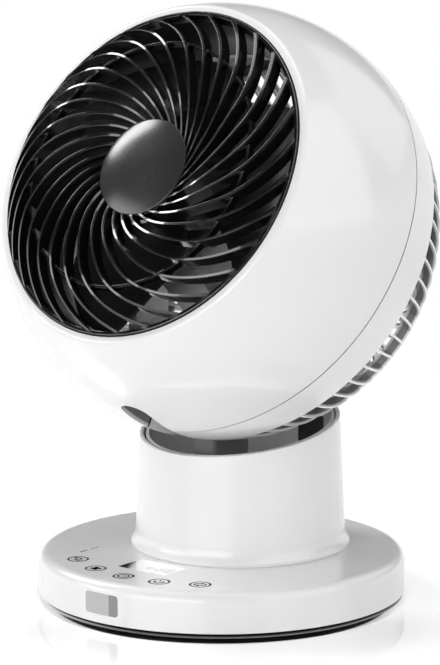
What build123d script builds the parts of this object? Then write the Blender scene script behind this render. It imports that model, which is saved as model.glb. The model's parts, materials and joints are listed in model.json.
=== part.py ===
from build123d import *
import os
from math import acos, asin, ceil, cos, degrees, hypot, pi, radians, sin, sqrt, tan

# Ball-head air circulator fan. Millimetres and degrees.
# Origin: centre of the base's underside on the table. +Z up, the fan blows towards -Y.
# Head pieces are drawn in the head's own frame (see HEAD below): local Z points forward along
# the fan's axis from the ball's centre, local Y is the head's "up", local X is the tilt axis.

# ---- Base: size and walls -------------------------------------------------------------------
BASE_R = 89.3            # outer radius of the white cover
BASE_TOP_Z = 21.8        # flat top of the cover
BASE_EDGE_Z = 2.3        # lower edge of the cover, where the black pan shows
BASE_SHOULDER = 5.0      # rounding between wall and top
BASE_WALL = 2.2          # moulded wall of the cover
PAN_INSET = 0.9          # pan edge behind the cover's wall
PAN_LIFT = 0.8           # pan edge above the table
PAN_BEVEL = 0.6
PAN_FLOOR = 1.6          # pan floor thickness
PAN_LIP = 2.0            # thickness of the pan's upstand inside the cover
PAN_LIP_H = 2.8          # height of that upstand above the floor
PAD_R = 80.0             # foot pad under the pan
PAD_T = 1.6              # foot pad thickness
SEAT_GAP = 0.3           # clearance between a part and the pocket it drops into
FACE_GAP = 0.1           # running gap between two flat faces that slide

# ---- Base: screws, ballast, cord inlet ------------------------------------------------------
BASE_SCREW_PCR = 70.0                     # radius of the cover screws' circle
BASE_SCREW_ANGLES = (35, 145, 205, 335)   # from +X, anticlockwise from above
BASE_BOSS_R = 4.0
BOSS_SEAT = 2.0          # pan boss under each cover boss
SCREW_R = 1.5                             # shank of the larger self-tapping screws
SCREW_HEAD_R = 3.0
SCREW_HEAD_T = 1.7
SMALL_SCREW_R = 1.1                       # shank of the small screws
SMALL_HEAD_R = 2.1
SMALL_HEAD_T = 1.4
SMALL_SCREW_L = 5.0      # length of the small screws in the head
BASE_SCREW_SHORT = 4.5   # cover screw's tip below the cover's underside
BOARD_SCREW_SHORT = 1.0  # and the board screw's
SHELL_SCREW_SHORT = 1.5  # shell screw's tip below the end of its boss
SUN_SCREW_GRIP = 6.0     # screw in the collar
GEAR_SCREW_FLOOR = 1.0   # left of the fork's arm under a gear screw
BALLAST_R_IN = 46.0
BALLAST_R_OUT = 76.0
BALLAST_T = 6.0
BALLAST_SPAN = (15, 165)                  # arc of the ballast plate, round the rear
INLET_Z = 12.4                            # height of the cord inlet's axis
INLET_BORE_R = 3.0                        # bore for a round cord
INLET_BODY_R = 5.0
INLET_FLANGE_R = 6.3
INLET_FLANGE_T = 1.5
INLET_FLANGE_PLAY = 0.9  # between the inner flange and the round wall
INLET_LENGTH = 12.0

# ---- Control panel --------------------------------------------------------------------------
KEY_NAMES = ("key_swing", "key_tilt", "key_speed", "key_power", "key_timer")
KEY_CIRCLE_R = 73.0      # radius, about the base's centre, that the keys sit on
KEY_PITCH = 15.8         # angle between keys
KEY_R = 5.3
KEY_GAP = 0.25           # gap round a key
KEY_FLANGE = 1.1         # width of the flange that keeps a key in the cover
KEY_FLANGE_T = 1.1
KEY_STEM_R = 1.8
KEY_TRAVEL = 0.5
KEY_STEM_PLAY = 0.05     # left between stem and switch when a key is down
BOARD_R_IN = 42.0        # control board, a piece of a ring
BOARD_R_OUT = 83.0
BOARD_HALF_SPAN = 42.0   # degrees each side of the front
BOARD_T = 1.6
BOARD_TOP_Z = 13.8
BOARD_SCREW_SPOTS = ((50.0, 36.0), (78.0, 40.0))   # radius, angle each side of the front
BOARD_BOSS_R = 2.8
SWITCH_SIDE = 6.0        # tact switch body
SWITCH_H = 2.6
PLUNGER_R = 1.7
PLUNGER_H = 0.8
DISPLAY_X = 29.0         # display window
DISPLAY_Y = 17.5
DISPLAY_CENTRE_Y = -51.8
DISPLAY_T = 1.2
DISPLAY_LEDGE = 1.3      # ledge under the window's edge
DIGITS_H = 6.4           # display module height
IR_WIDTH = 20.0          # receiver window in the base's front wall
IR_Z = (6.3, 16.7)
IR_CORNER = 1.8
IR_RECEIVER = (6.0, 5.0, 5.0)

# ---- Swivel between base and neck -----------------------------------------------------------
NECK_Y = 14.5            # the neck's axis stands behind the base's centre
COLLAR_R = 24.0          # fixed collar on the base cover, the swivel's bearing
COLLAR_WALL = 5.0
COLLAR_H = 5.2
RUN_FIT = 0.06           # radial clearance of a shaft or collar in its bore
SLIDE_RING_R = (26.0, 36.0)
SLIDE_RING_T = 1.0
TABLE_R = 48.2           # turntable under the neck
SUN_TEETH = 54
SWING_PINION_TEETH = 12
SWING_MODULE = 1.0
SUN_T = 5.0
SUN_BORE_R = 8.0         # wires pass here
SWING_PINION_T = 4.2
GEAR_BACKLASH = 0.16
SWING_MOTOR_R = 13.0
SWING_MOTOR_H = 15.0
MOTOR_SHAFT_R = 2.5
SWING_EAR_R = 3.2         # lugs of the swing motor
SWING_EAR_T = 1.0
SWING_EAR_BACK = 4.0     # lugs in front of the motor's middle
SHAFT_SEAT = 4.0         # how far a pinion's shaft enters its motor

# ---- Neck -----------------------------------------------------------------------------------
NECK_FOOT_R = 53.5
NECK_FOOT_H = 1.2        # upright edge of the flared foot
NECK_FLARE_TOP_Z = 31.0
NECK_FLARE_BOW = 0.7     # hollow of the flare
NECK_LOW_R = 51.3        # radius just above the flare
NECK_TOP_R = 48.9        # radius at the rim
RIM_Z = 82.0             # rim height on the neck's axis
RIM_SLOPE = 8.9          # the rim rises to the rear by this angle
NECK_WALL = 2.2
NECK_FOOT_GAP = 0.7      # gap between foot and base
NECK_BOSS_ANGLES = (0, 180, 270)
NECK_BOSS_R = 4.0
NECK_BOSS_H = 6.8
NECK_BOSS_PCR = 44.5
BOSS_WEB = 3.0           # web between a screw boss and the wall
LINER_T = 1.5
LINER_FLOOR_Z = 56.0
LINER_RIM_DROP = 0.8     # liner edge below the shell's rim
LEDGE_T = 1.5
GROMMET_X = (1.0, 21.0)  # dark grommet in the liner's rear wall
GROMMET_Z = (65.0, 80.5)

# ---- Ball head ------------------------------------------------------------------------------
BALL_R = 105.0
BALL_Z = 182.5           # height of the ball's centre, which is also on the tilt axis
REST_TILT = 30.0         # the head looks up by this angle in the photograph
TILT_RANGE = (0.0, 90.0)
SHELL_T = 2.4
SEAM_D = -8.0            # seam between the shells, along the head's axis
SEAM_GAP = 0.6
TONGUE_REACH = 4.0       # the rear shell's tongue inside the front shell
TONGUE_T = 1.5
LIP_D = 60.0             # front face of the front shell
LIP_T = 4.0
LIP_ROUND = 2.5
LIP_BORE_R = 83.0
SLOT_HALF = 8.0          # half width of the tilt slot in the ball
SLOT_MARGIN = 1.2        # degrees of slot beyond the stem at each end of the travel
SLOT_RAIL = 1.6          # wall round the slot, inside the ball
SLOT_RAIL_DEPTH = 8.0

# ---- Intake guard, moulded in the rear shell --------------------------------------------------
GUARD_SLOTS = 64
GUARD_D = -31.0          # front edge of the slots
GUARD_DEPTH = 6.0        # the ribs reach this far into the ball
GUARD_RIB = 1.2
GUARD_FRAME = 2.0        # frame in front of the slots and between their rows
GUARD_SPIGOT = 3.0       # the guard's ring inside the rear shell
GUARD_RING_R = 77.0      # ring between the two rows of slots
GUARD_CAP_R = 44.0       # closed cap in the middle of the rear
SHELL_SCREW_SLOTS = (7, 25, 39, 57)    # guard slots that give access to the shell screws
SHELL_SCREW_PCR = 95.5
SHELL_BOSS_R = 4.0
SHELL_BOSS_REAR = 11.0   # boss length in the rear shell
SHELL_BOSS_FRONT = 14.0  # and in the front shell

# ---- Fork (yoke) and tilt bearings ------------------------------------------------------------
STEM_X = 14.0            # stem that passes through the ball's slot
STEM_Y = 28.0
STEM_ROUND = 3.0
WIRE_X = 8.0             # wire channel in the stem
WIRE_Y = 16.0
FORK_INNER_X = 43.5      # inner face of the fork's arms
FORK_ARM_T = 5.0
FORK_HALF_Y = 12.0
FORK_DROP = 60.0         # underside of the cross-piece, below the tilt axis
FORK_BAR_T = 8.0
PLATE_Z = 34.0           # foot plate of the fork, above the sun gear
PLATE_T = 4.0
PLATE_R = 46.0
LEG_R = 4.0
LEG_PCR = 40.0
LEG_ANGLES = (45, 135, 225, 315)
PIN_R = 4.0              # tilt pins
PIN_HEAD_R = 7.0
PIN_HEAD_T = 3.0
PIN_TIP = 1.6            # pin beyond the fork's inner face
CLIP_R = 6.5
CLIP_T = 1.0
CLIP_GROOVE = 0.6
TILT_TEETH = 56
TILT_PINION_TEETH = 12
TILT_MODULE = 0.8
TILT_GEAR_T = 5.5
WASHER_R = 7.5
WASHER_T = 2.0
GEAR_SCREW_PCR = 9.6
GEAR_SCREW_ANGLES = (210, 270, 330)
TILT_PINION_ANGLE = -10.0   # from the head's up towards its front
TILT_PINION_T = 4.6
BRACKET_T = 4.0
BRACKET_EYE_R = 11.0
BRACKET_HALF_Y = 9.0
BRACKET_FOOT = 11.4      # reach of the bracket's foot beyond its plate
BRACKET_FOOT_T = 3.0
TILT_MOTOR_R = 14.0
TILT_MOTOR_L = 17.0
TILT_SHAFT_R = 2.0
TILT_EAR_T = 1.0
TILT_EAR = 1.5           # width of the motor's flange
TILT_EAR_INSET = 0.8     # screws inside the motor's outline
TILT_EAR_SIDE = 0.72     # share of that radius, across and along

# ---- Duct, motor mount, grille ----------------------------------------------------------------
DUCT_R = 79.0            # bore of the duct round the impeller
DUCT_WALL = 2.0
DUCT_FLANGE_R = 85.6
DUCT_FLANGE_T = 2.5
DUCT_REAR_FLANGE_R = 85.5
DUCT_SCREW_PCR = 84.3
DUCT_SCREW_ANGLES = (0, 60, 120, 180, 240, 300)
MOUNT_D = 15.5           # rear face of the motor mount
MOUNT_T = 4.0
MOUNT_HUB_R = 34.0
MOUNT_RIM_STEP = 0.5     # mount's ring set back from the duct's bore
MOUNT_ARM_W = 9.0
MOUNT_ARM_ANGLES = (30, 150, 210)        # straight arms, from +X
MOUNT_SIDE_ARM = (15.0, 30.0)            # wide arms beside the motor: width, distance from its axis
MOUNT_SIDE_ARM_ANGLES = (-32.6, 147.4)   # their directions
MOUNT_PAD = (55.5, 20.0)  # pads at the ring for the tilt brackets: inner end and width
MOUNT_SCREW_PCR = 83.3
GRILLE_RING_R = 82.4
GRILLE_RING_W = 2.0
GRILLE_D = 61.0          # front of the grille's ring
DOME_D = 74.0            # crown of the grille
DOME_R = 51.0            # radius of the crown's circle
DOME_OUTER_ARC = 44.5
DOME_INNER_ARC = 51.0
RIB_COUNT = 30
RIB_W = 1.1
RIB_DEPTH = 7.0
RIB_PHASE = 6.7          # clockwise from up, where a rib crosses RIB_PHASE_R
RIB_PHASE_R = 78.0
RIB_LEAN = 0.92          # tangent of the ribs' lean from radial, inside RIB_BEND_R
RIB_BEND_R = 58.0        # outside it the lean grows
RIB_LEAN_RISE = 0.0575   # by this much per millimetre
MID_RING_R = 62.0
MID_RING_W = 1.3
MID_RING_D = 70.0
MID_RING_DEPTH = 4.0
BADGE_R = 24.2
BADGE_SEAT_D = 65.0
BADGE_EDGE = 1.4
BADGE_RISE = 3.2
BADGE_PEG_R = 3.0
BADGE_PEG_L = 3.0
HUB_RIM = 0.4            # hub beyond the badge
HUB_DEPTH = 5.0
HOOK_ANGLES = (45, 135, 225, 315)
HOOK_W = 6.0
HOOK_T = 1.2
HOOK_SINK = 0.05         # hook's back inside the ring's face
HOOK_BARB = 0.8
HOOK_ROOT = 2.0          # hook's reach into the ring

# ---- Fan motor and impeller -------------------------------------------------------------------
MOTOR_R = 34.0
MOTOR_LENGTH = 36.5
MOTOR_CASE_T = 1.2
MOTOR_SPLIT = 17.5       # split line behind the motor's front face
MOTOR_FLANGE_R = 39.0
MOTOR_BOSS_R = 11.0
MOTOR_BOSS_H = 4.5
MOTOR_SCREW_PCR = 24.0
CASE_SCREW_PCR = 36.3
SHAFT_R = 3.0
BEARING_R = 8.0
BEARING_L = 6.0
CORE_R = (18.0, 32.6)    # stator core
CORE_L = 20.0
COIL_R = (20.5, 30.5)
COIL_L = 4.5
ROTOR_GAP = 0.4
ROTOR_RING = 1.5
BLADE_COUNT = 3
IMPELLER_R = 76.4
IMPELLER_FRONT_D = 49.5
SHAFT_PROUD = 1.0        # shaft's tip beyond the impeller
IMPELLER_REAR_GAP = 1.6  # from the teeth of the tilt gear to the impeller
IMPELLER_HUB_R = 20.0
IMPELLER_HUB_WALL = 2.0
# One blade's outline seen from the front: radius, angle of its rear edge, angle of its front edge.
BLADE_EDGES = (
    (17.0, -24.0, 82.0), (32.0, -30.0, 76.0), (46.0, -37.0, 65.0), (56.0, -40.0, 50.0), (65.0, -33.0, 41.0),
    (73.0, -18.0, 35.0), (79.0, -2.0, 31.0),
)
BLADE_SECTIONS = 5       # cross-sections between rear and front edge
BLADE_EDGE_W = 2.4       # blade width across, seen from the front: at its edges and in the middle
BLADE_MIDDLE_W = 5.0
NUT_R = 9.0
NUT_H = 6.0
NUT_FLUTES = 8
NUT_FLUTE_R = 1.5

# ---- Derived places ---------------------------------------------------------------------------
COVER_UNDER_Z = BASE_TOP_Z - BASE_WALL
PAN_TOP_Z = PAD_T + PAN_FLOOR
BOARD_Z = BOARD_TOP_Z - BOARD_T
KEY_FLANGE_Z = COVER_UNDER_Z - FACE_GAP
PLUNGER_TOP_Z = BOARD_TOP_Z + SWITCH_H + PLUNGER_H
KEY_STEM_Z = PLUNGER_TOP_Z + KEY_TRAVEL + KEY_STEM_PLAY
KEY_ANGLES = {name: (i - 2) * KEY_PITCH for i, name in enumerate(KEY_NAMES)}
COLLAR_TOP_Z = BASE_TOP_Z + COLLAR_H
TABLE_Z = BASE_TOP_Z + SLIDE_RING_T + FACE_GAP
TABLE_TOP_Z = COLLAR_TOP_Z - FACE_GAP
SWING_CENTRES = (SUN_TEETH + SWING_PINION_TEETH) * SWING_MODULE / 2
SWING_PINION_Y = NECK_Y + SWING_CENTRES
PLATE_TOP_Z = PLATE_Z + PLATE_T
NECK_FOOT_Z = BASE_TOP_Z + NECK_FOOT_GAP
RIM_TAN = tan(radians(RIM_SLOPE))
RIM_TOP_Z = RIM_Z + NECK_TOP_R * RIM_TAN
NECK_TAPER = (NECK_LOW_R - NECK_TOP_R) / (RIM_Z - NECK_FLARE_TOP_Z)
LINER_R = NECK_LOW_R - NECK_TAPER * (RIM_TOP_Z - NECK_FLARE_TOP_Z) - NECK_WALL - SEAT_GAP
SEAM_FRONT_D = SEAM_D + SEAM_GAP / 2
SEAM_REAR_D = SEAM_D - SEAM_GAP / 2
GUARD_R = sqrt(BALL_R**2 - GUARD_D**2)
GUARD_SEAM_D = GUARD_D + GUARD_FRAME
SHELL_SCREW_ANGLES = [360 / GUARD_SLOTS * i for i in SHELL_SCREW_SLOTS]
FORK_OUTER_X = FORK_INNER_X + FORK_ARM_T
FORK_BAR_Z = BALL_Z - FORK_DROP
BRACKET_X = FORK_OUTER_X + TILT_GEAR_T + WASHER_T + FACE_GAP
BRACKET_OUTER_X = BRACKET_X + BRACKET_T
TILT_CENTRES = (TILT_TEETH + TILT_PINION_TEETH) * TILT_MODULE / 2
TILT_PINION_Y = TILT_CENTRES * cos(radians(TILT_PINION_ANGLE))
TILT_PINION_D = TILT_CENTRES * sin(radians(TILT_PINION_ANGLE))
MOUNT_FRONT_D = MOUNT_D + MOUNT_T
DUCT_FRONT_D = LIP_D - LIP_T
MOTOR_REAR_D = MOUNT_D - MOTOR_LENGTH
MOTOR_SPLIT_D = MOUNT_D - MOTOR_SPLIT
CORE_D = MOTOR_SPLIT_D - CORE_L / 2
ROTOR_R = CORE_R[0] - ROTOR_GAP
IMPELLER_REAR_D = TILT_MODULE * (TILT_TEETH / 2 + 1) + IMPELLER_REAR_GAP
IMPELLER_D = (IMPELLER_REAR_D, IMPELLER_FRONT_D)
SHAFT_TIP_D = IMPELLER_FRONT_D + SHAFT_PROUD
BASE_SCREW_HEAD_Z = PAD_T + SCREW_HEAD_T + FACE_GAP
BASE_SCREW_TIP_Z = COVER_UNDER_Z - BASE_SCREW_SHORT
BOARD_SCREW_TIP_Z = COVER_UNDER_Z - BOARD_SCREW_SHORT
SUN_SCREW_HEAD_Z = COLLAR_TOP_Z + SUN_T - SMALL_HEAD_T - FACE_GAP
SUN_SCREW_TIP_Z = COLLAR_TOP_Z - SUN_SCREW_GRIP
TABLE_SCREW_HEAD_Z = TABLE_Z + SCREW_HEAD_T + FACE_GAP
GEAR_SCREW_DEPTH = FORK_ARM_T - GEAR_SCREW_FLOOR
GEAR_SCREW_HEAD_X = FORK_OUTER_X + TILT_GEAR_T - SMALL_HEAD_T - FACE_GAP
SHELL_SCREW_TIP_D = SEAM_FRONT_D + SHELL_BOSS_FRONT - SHELL_SCREW_SHORT
SHELL_SCREW_HEAD_D = SEAM_REAR_D - SHELL_BOSS_REAR

HEAD = Plane(
    origin=(0, 0, BALL_Z),
    x_dir=(1, 0, 0),
    z_dir=(0, -cos(radians(REST_TILT)), sin(radians(REST_TILT))),
).location


# ---- Small helpers ----------------------------------------------------------------------------
def rod(radius, z0, z1, x=0.0, y=0.0):
    """Upright cylinder from z0 to z1."""
    return Pos(x, y, z0) * Cylinder(radius, z1 - z0, align=(Align.CENTER, Align.CENTER, Align.MIN))


def pipe(r_in, r_out, z0, z1, x=0.0, y=0.0):
    """Upright tube from z0 to z1."""
    return rod(r_out, z0, z1, x, y) - rod(r_in, z0 - 1, z1 + 1, x, y)


def block(x0, x1, y0, y1, z0, z1):
    """Box between two corners."""
    return Pos((x0 + x1) / 2, (y0 + y1) / 2, (z0 + z1) / 2) * Box(x1 - x0, y1 - y0, z1 - z0)


def slab(z0, z1):
    """Everything between two heights, wide enough for the whole ball."""
    return rod(2 * BALL_R, z0, z1)


def turned(points):
    """Solid turned about Z from a closed (radius, height) outline of straight lines."""
    outline = Polyline(*[(r, 0, z) for r, z in points], close=True)
    return revolve(make_face(outline), Axis.Z)


def polar(radius, angle):
    """Point at an angle anticlockwise from +X."""
    return radius * cos(radians(angle)), radius * sin(radians(angle))


def from_front(radius, angle):
    """Point on the base at an angle from the front (-Y) towards +X."""
    return radius * sin(radians(angle)), -radius * cos(radians(angle))


def spots(radius, angles, centre=(0.0, 0.0)):
    """Points on a circle about a centre."""
    points = []
    for angle in angles:
        x, y = polar(radius, angle)
        points.append((centre[0] + x, centre[1] + y))
    return points


def along_x(shape, x0, y=0.0, z=0.0):
    """Lay a shape drawn about Z along +X: its z=0 goes to x0, its x to y and its y to z."""
    return Plane(origin=(x0, y, z), x_dir=(0, 1, 0), z_dir=(1, 0, 0)).location * shape


def screw(x, y, head_z, tip_z, shank_r, head_r, head_t):
    """Screw on a vertical axis; the head lies beyond head_z, away from the tip."""
    away = 1 if head_z > tip_z else -1
    shank = rod(shank_r, min(head_z, tip_z), max(head_z, tip_z), x, y)
    head_far = head_z + away * head_t
    return shank + rod(head_r, min(head_z, head_far), max(head_z, head_far), x, y)


def screws(points, head_z, tip_z, small=False):
    """A set of identical screws, as separate solids."""
    sizes = (SMALL_SCREW_R, SMALL_HEAD_R, SMALL_HEAD_T) if small else (SCREW_R, SCREW_HEAD_R, SCREW_HEAD_T)
    return Compound([screw(x, y, head_z, tip_z, *sizes).solid() for x, y in points])


def gear_outline(teeth, module):
    """Involute gear outline about the origin, with a tooth centred on +X."""
    pressure = radians(20)
    pitch_r = teeth * module / 2
    base_r = pitch_r * cos(pressure)
    root_r = pitch_r - 1.25 * module
    tip_r = pitch_r + module
    half_tooth = pi / (2 * teeth) - GEAR_BACKLASH / (4 * pitch_r)

    def half_angle(radius):
        turn = acos(min(1.0, base_r / radius))
        return half_tooth + (tan(pressure) - pressure) - (tan(turn) - turn)

    radii = (max(base_r, root_r), pitch_r, tip_r)
    points = []
    for tooth in range(teeth):
        middle = 2 * pi * tooth / teeth
        root_half = half_angle(radii[0])
        flank = [(root_r, -root_half)] if root_r < radii[0] else []
        flank += [(radius, -half_angle(radius)) for radius in radii]
        flank += [(radius, -angle) for radius, angle in reversed(flank)]
        points += [(r * cos(middle + a), r * sin(middle + a)) for r, a in flank]
    return points


def gear(teeth, module, thickness, turn=0.0):
    """Spur gear standing on z = 0."""
    face = make_face(Polyline(*gear_outline(teeth, module), close=True))
    return Rot(0, 0, turn) * extrude(face, thickness)


# ---- Base -------------------------------------------------------------------------------------
def base_boss_spots():
    return spots(BASE_SCREW_PCR, BASE_SCREW_ANGLES)


def board_boss_spots():
    return [from_front(radius, side * angle) for radius, angle in BOARD_SCREW_SPOTS for side in (-1, 1)]


def key_spots():
    return {name: from_front(KEY_CIRCLE_R, angle) for name, angle in KEY_ANGLES.items()}


def ir_prism(grow):
    """Rounded rectangle through the base's front wall."""
    width = IR_WIDTH + 2 * grow
    height = IR_Z[1] - IR_Z[0] + 2 * grow
    middle = (IR_Z[0] + IR_Z[1]) / 2
    sketch = RectangleRounded(width, height, IR_CORNER)
    prism = extrude(sketch, 2 * BASE_WALL + 8)
    return Plane(origin=(0, -BASE_R - 4, middle), x_dir=(1, 0, 0), z_dir=(0, 1, 0)).location * prism


def cover_blank():
    """Closed-top cup with a rounded shoulder and an even wall."""
    outer = rod(BASE_R, BASE_EDGE_Z, BASE_TOP_Z)
    outer = fillet(outer.edges().group_by(Axis.Z)[-1], BASE_SHOULDER)
    inner = rod(BASE_R - BASE_WALL, BASE_EDGE_Z - 1, COVER_UNDER_Z)
    inner = fillet(inner.edges().group_by(Axis.Z)[-1], max(0.5, BASE_SHOULDER - BASE_WALL))
    return outer - inner


def base_cover():
    cover = cover_blank()
    cover += pipe(COLLAR_R - COLLAR_WALL, COLLAR_R, COVER_UNDER_Z, COLLAR_TOP_Z, 0, NECK_Y)
    for x, y in base_boss_spots():
        cover += rod(BASE_BOSS_R, PAN_TOP_Z + BOSS_SEAT, COVER_UNDER_Z, x, y)
    for x, y in board_boss_spots():
        cover += rod(BOARD_BOSS_R, BOARD_TOP_Z, COVER_UNDER_Z, x, y)
    cuts = [rod(COLLAR_R - COLLAR_WALL, COVER_UNDER_Z - 1, COLLAR_TOP_Z + 1, 0, NECK_Y)]
    cuts += [rod(SCREW_R, PAN_TOP_Z, BASE_SCREW_TIP_Z, x, y) for x, y in base_boss_spots()]
    cuts += [rod(SMALL_SCREW_R, BOARD_Z, BOARD_SCREW_TIP_Z, x, y) for x, y in board_boss_spots()]
    cuts += [rod(KEY_R + KEY_GAP, COVER_UNDER_Z - 1, BASE_TOP_Z + 1, x, y) for x, y in key_spots().values()]
    cuts += [rod(SMALL_SCREW_R, SUN_SCREW_TIP_Z, COLLAR_TOP_Z + 1, x, y) for x, y in sun_screw_spots()]
    cuts += display_cuts()
    cuts.append(ir_prism(0.0))
    cuts.append(inlet_rod(INLET_BODY_R, BASE_R - 2 * BASE_WALL, BASE_R + 1))
    return cover - cuts


def display_cuts():
    """Pocket for the window and the opening under it."""
    half_x = DISPLAY_X / 2
    half_y = DISPLAY_Y / 2
    y = DISPLAY_CENTRE_Y
    pocket = block(-half_x, half_x, y - half_y, y + half_y, BASE_TOP_Z - DISPLAY_T, BASE_TOP_Z + 1)
    half_x -= DISPLAY_LEDGE
    half_y -= DISPLAY_LEDGE
    opening = block(-half_x, half_x, y - half_y, y + half_y, COVER_UNDER_Z - 1, BASE_TOP_Z + 1)
    return [pocket, opening]


def base_pan():
    """Black bottom: recess for the pad, floor, and an upstand that centres the cover."""
    edge_r = BASE_R - PAN_INSET
    lip_r = BASE_R - BASE_WALL - SEAT_GAP
    recess_r = PAD_R + SEAT_GAP
    pan = turned([
        (0, PAD_T), (recess_r, PAD_T), (recess_r, PAN_LIFT),
        (edge_r - PAN_BEVEL, PAN_LIFT), (edge_r, PAN_LIFT + PAN_BEVEL),
        (edge_r, BASE_EDGE_Z), (lip_r, BASE_EDGE_Z), (lip_r, PAN_TOP_Z + PAN_LIP_H),
        (lip_r - PAN_LIP, PAN_TOP_Z + PAN_LIP_H), (lip_r - PAN_LIP, PAN_TOP_Z), (0, PAN_TOP_Z),
    ])
    for x, y in base_boss_spots():
        pan += rod(BASE_BOSS_R, PAN_TOP_Z - 0.5, PAN_TOP_Z + BOSS_SEAT, x, y)
    cuts = [rod(SCREW_HEAD_R + SEAT_GAP, 0, BASE_SCREW_HEAD_Z, x, y) for x, y in base_boss_spots()]
    cuts += [rod(SCREW_R + FACE_GAP, 0, PAN_TOP_Z + BOSS_SEAT + 1, x, y) for x, y in base_boss_spots()]
    return pan - cuts


def foot_pad():
    return rod(PAD_R, 0, PAD_T)


def base_screws():
    return screws(base_boss_spots(), BASE_SCREW_HEAD_Z, BASE_SCREW_TIP_Z)


def arc_plate(r_in, r_out, start, end, z0, z1):
    """Flat piece of a ring between two angles from +X."""
    section = make_face(Polyline((r_in, 0, z0), (r_out, 0, z0), (r_out, 0, z1), (r_in, 0, z1), close=True))
    return Rot(0, 0, start) * revolve(section, Axis.Z, end - start)


def ballast_plate():
    plate = arc_plate(BALLAST_R_IN, BALLAST_R_OUT, *BALLAST_SPAN, PAN_TOP_Z, PAN_TOP_Z + BALLAST_T)
    holes = [rod(BASE_BOSS_R + SEAT_GAP, 0, BASE_TOP_Z, x, y) for x, y in base_boss_spots()]
    return plate - holes


def control_board():
    front = 270
    span = (front - BOARD_HALF_SPAN, front + BOARD_HALF_SPAN)
    board = arc_plate(BOARD_R_IN, BOARD_R_OUT, *span, BOARD_Z, BOARD_TOP_Z)
    return board - [rod(SMALL_SCREW_R, 0, BASE_TOP_Z, x, y) for x, y in board_boss_spots()]


def board_screws():
    return screws(board_boss_spots(), BOARD_Z, BOARD_SCREW_TIP_Z, small=True)


def tact_switches():
    half = SWITCH_SIDE / 2
    solids = []
    for x, y in key_spots().values():
        body = block(x - half, x + half, y - half, y + half, BOARD_TOP_Z, BOARD_TOP_Z + SWITCH_H)
        solids.append((body + rod(PLUNGER_R, BOARD_TOP_Z + SWITCH_H, PLUNGER_TOP_Z, x, y)).solid())
    return Compound(solids)


def key(name):
    """Round key: cap flush with the cover, flange under the cover, stem above its switch."""
    x, y = key_spots()[name]
    cap = rod(KEY_R, KEY_FLANGE_Z - KEY_FLANGE_T, BASE_TOP_Z, x, y)
    cap = chamfer(cap.edges().group_by(Axis.Z)[-1], 0.25)
    flange = rod(KEY_R + KEY_FLANGE, KEY_FLANGE_Z - KEY_FLANGE_T, KEY_FLANGE_Z, x, y)
    return cap + flange + rod(KEY_STEM_R, KEY_STEM_Z, KEY_FLANGE_Z, x, y)


def display_window():
    half_x = DISPLAY_X / 2 - FACE_GAP
    half_y = DISPLAY_Y / 2 - FACE_GAP
    y = DISPLAY_CENTRE_Y
    return block(-half_x, half_x, y - half_y, y + half_y, BASE_TOP_Z - DISPLAY_T, BASE_TOP_Z)


def display_module():
    half_x = DISPLAY_X / 2 - DISPLAY_LEDGE - SEAT_GAP
    half_y = DISPLAY_Y / 2 - DISPLAY_LEDGE - SEAT_GAP
    y = DISPLAY_CENTRE_Y
    return block(-half_x, half_x, y - half_y, y + half_y, BOARD_TOP_Z, BOARD_TOP_Z + DIGITS_H)


def ir_window():
    wall = pipe(BASE_R - BASE_WALL, BASE_R, BASE_EDGE_Z, COVER_UNDER_Z)
    return ir_prism(-FACE_GAP / 2) & wall


def ir_receiver():
    half_x = IR_RECEIVER[0] / 2
    y0 = -BOARD_R_OUT + FACE_GAP
    return block(-half_x, half_x, y0, y0 + IR_RECEIVER[1], BOARD_Z - IR_RECEIVER[2], BOARD_Z)


def inlet_rod(radius, y0, y1):
    """Cylinder on the cord inlet's axis."""
    rod_shape = rod(radius, 0, y1 - y0)
    return Plane(origin=(0, y0, INLET_Z), x_dir=(1, 0, 0), z_dir=(0, 1, 0)).location * rod_shape


def cord_bushing():
    """Inlet bushing in the rear wall, with a flange on each side of the wall."""
    wall_out = BASE_R
    wall_in = sqrt((BASE_R - BASE_WALL)**2 - INLET_FLANGE_R**2) - INLET_FLANGE_PLAY
    start = wall_out + INLET_FLANGE_T - INLET_LENGTH
    body = inlet_rod(INLET_BODY_R, start, wall_out + INLET_FLANGE_T)
    body += inlet_rod(INLET_FLANGE_R, wall_out, wall_out + INLET_FLANGE_T)
    body += inlet_rod(INLET_FLANGE_R, wall_in - INLET_FLANGE_T, wall_in)
    return body - inlet_rod(INLET_BORE_R, start - 1, wall_out + INLET_FLANGE_T + 1)


# ---- Swivel -----------------------------------------------------------------------------------
def sun_screw_spots():
    return spots(COLLAR_R - COLLAR_WALL / 2, (30, 150, 270), (0, NECK_Y))


def slide_ring():
    return pipe(*SLIDE_RING_R, BASE_TOP_Z, BASE_TOP_Z + SLIDE_RING_T, 0, NECK_Y)


def leg_spots():
    return spots(LEG_PCR, LEG_ANGLES, (0, NECK_Y))


def neck_boss_spots():
    return spots(NECK_BOSS_PCR, NECK_BOSS_ANGLES, (0, NECK_Y))


def swing_turntable():
    """Disc that turns round the base's collar and carries neck and fork."""
    table = pipe(COLLAR_R + RUN_FIT, TABLE_R, TABLE_Z, TABLE_TOP_Z, 0, NECK_Y)
    points = leg_spots() + neck_boss_spots()
    cuts = [rod(SCREW_R, TABLE_Z - 1, TABLE_TOP_Z + 1, x, y) for x, y in points]
    cuts += [rod(SCREW_HEAD_R + FACE_GAP, TABLE_Z - 1, TABLE_SCREW_HEAD_Z, x, y) for x, y in points]
    return table - cuts


def turntable_screws():
    legs = screws(leg_spots(), TABLE_SCREW_HEAD_Z, PLATE_Z - 1.0)
    neck = screws(neck_boss_spots(), TABLE_SCREW_HEAD_Z, TABLE_TOP_Z + NECK_BOSS_H - 1.0)
    return Compound(legs.solids() + neck.solids())


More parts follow.
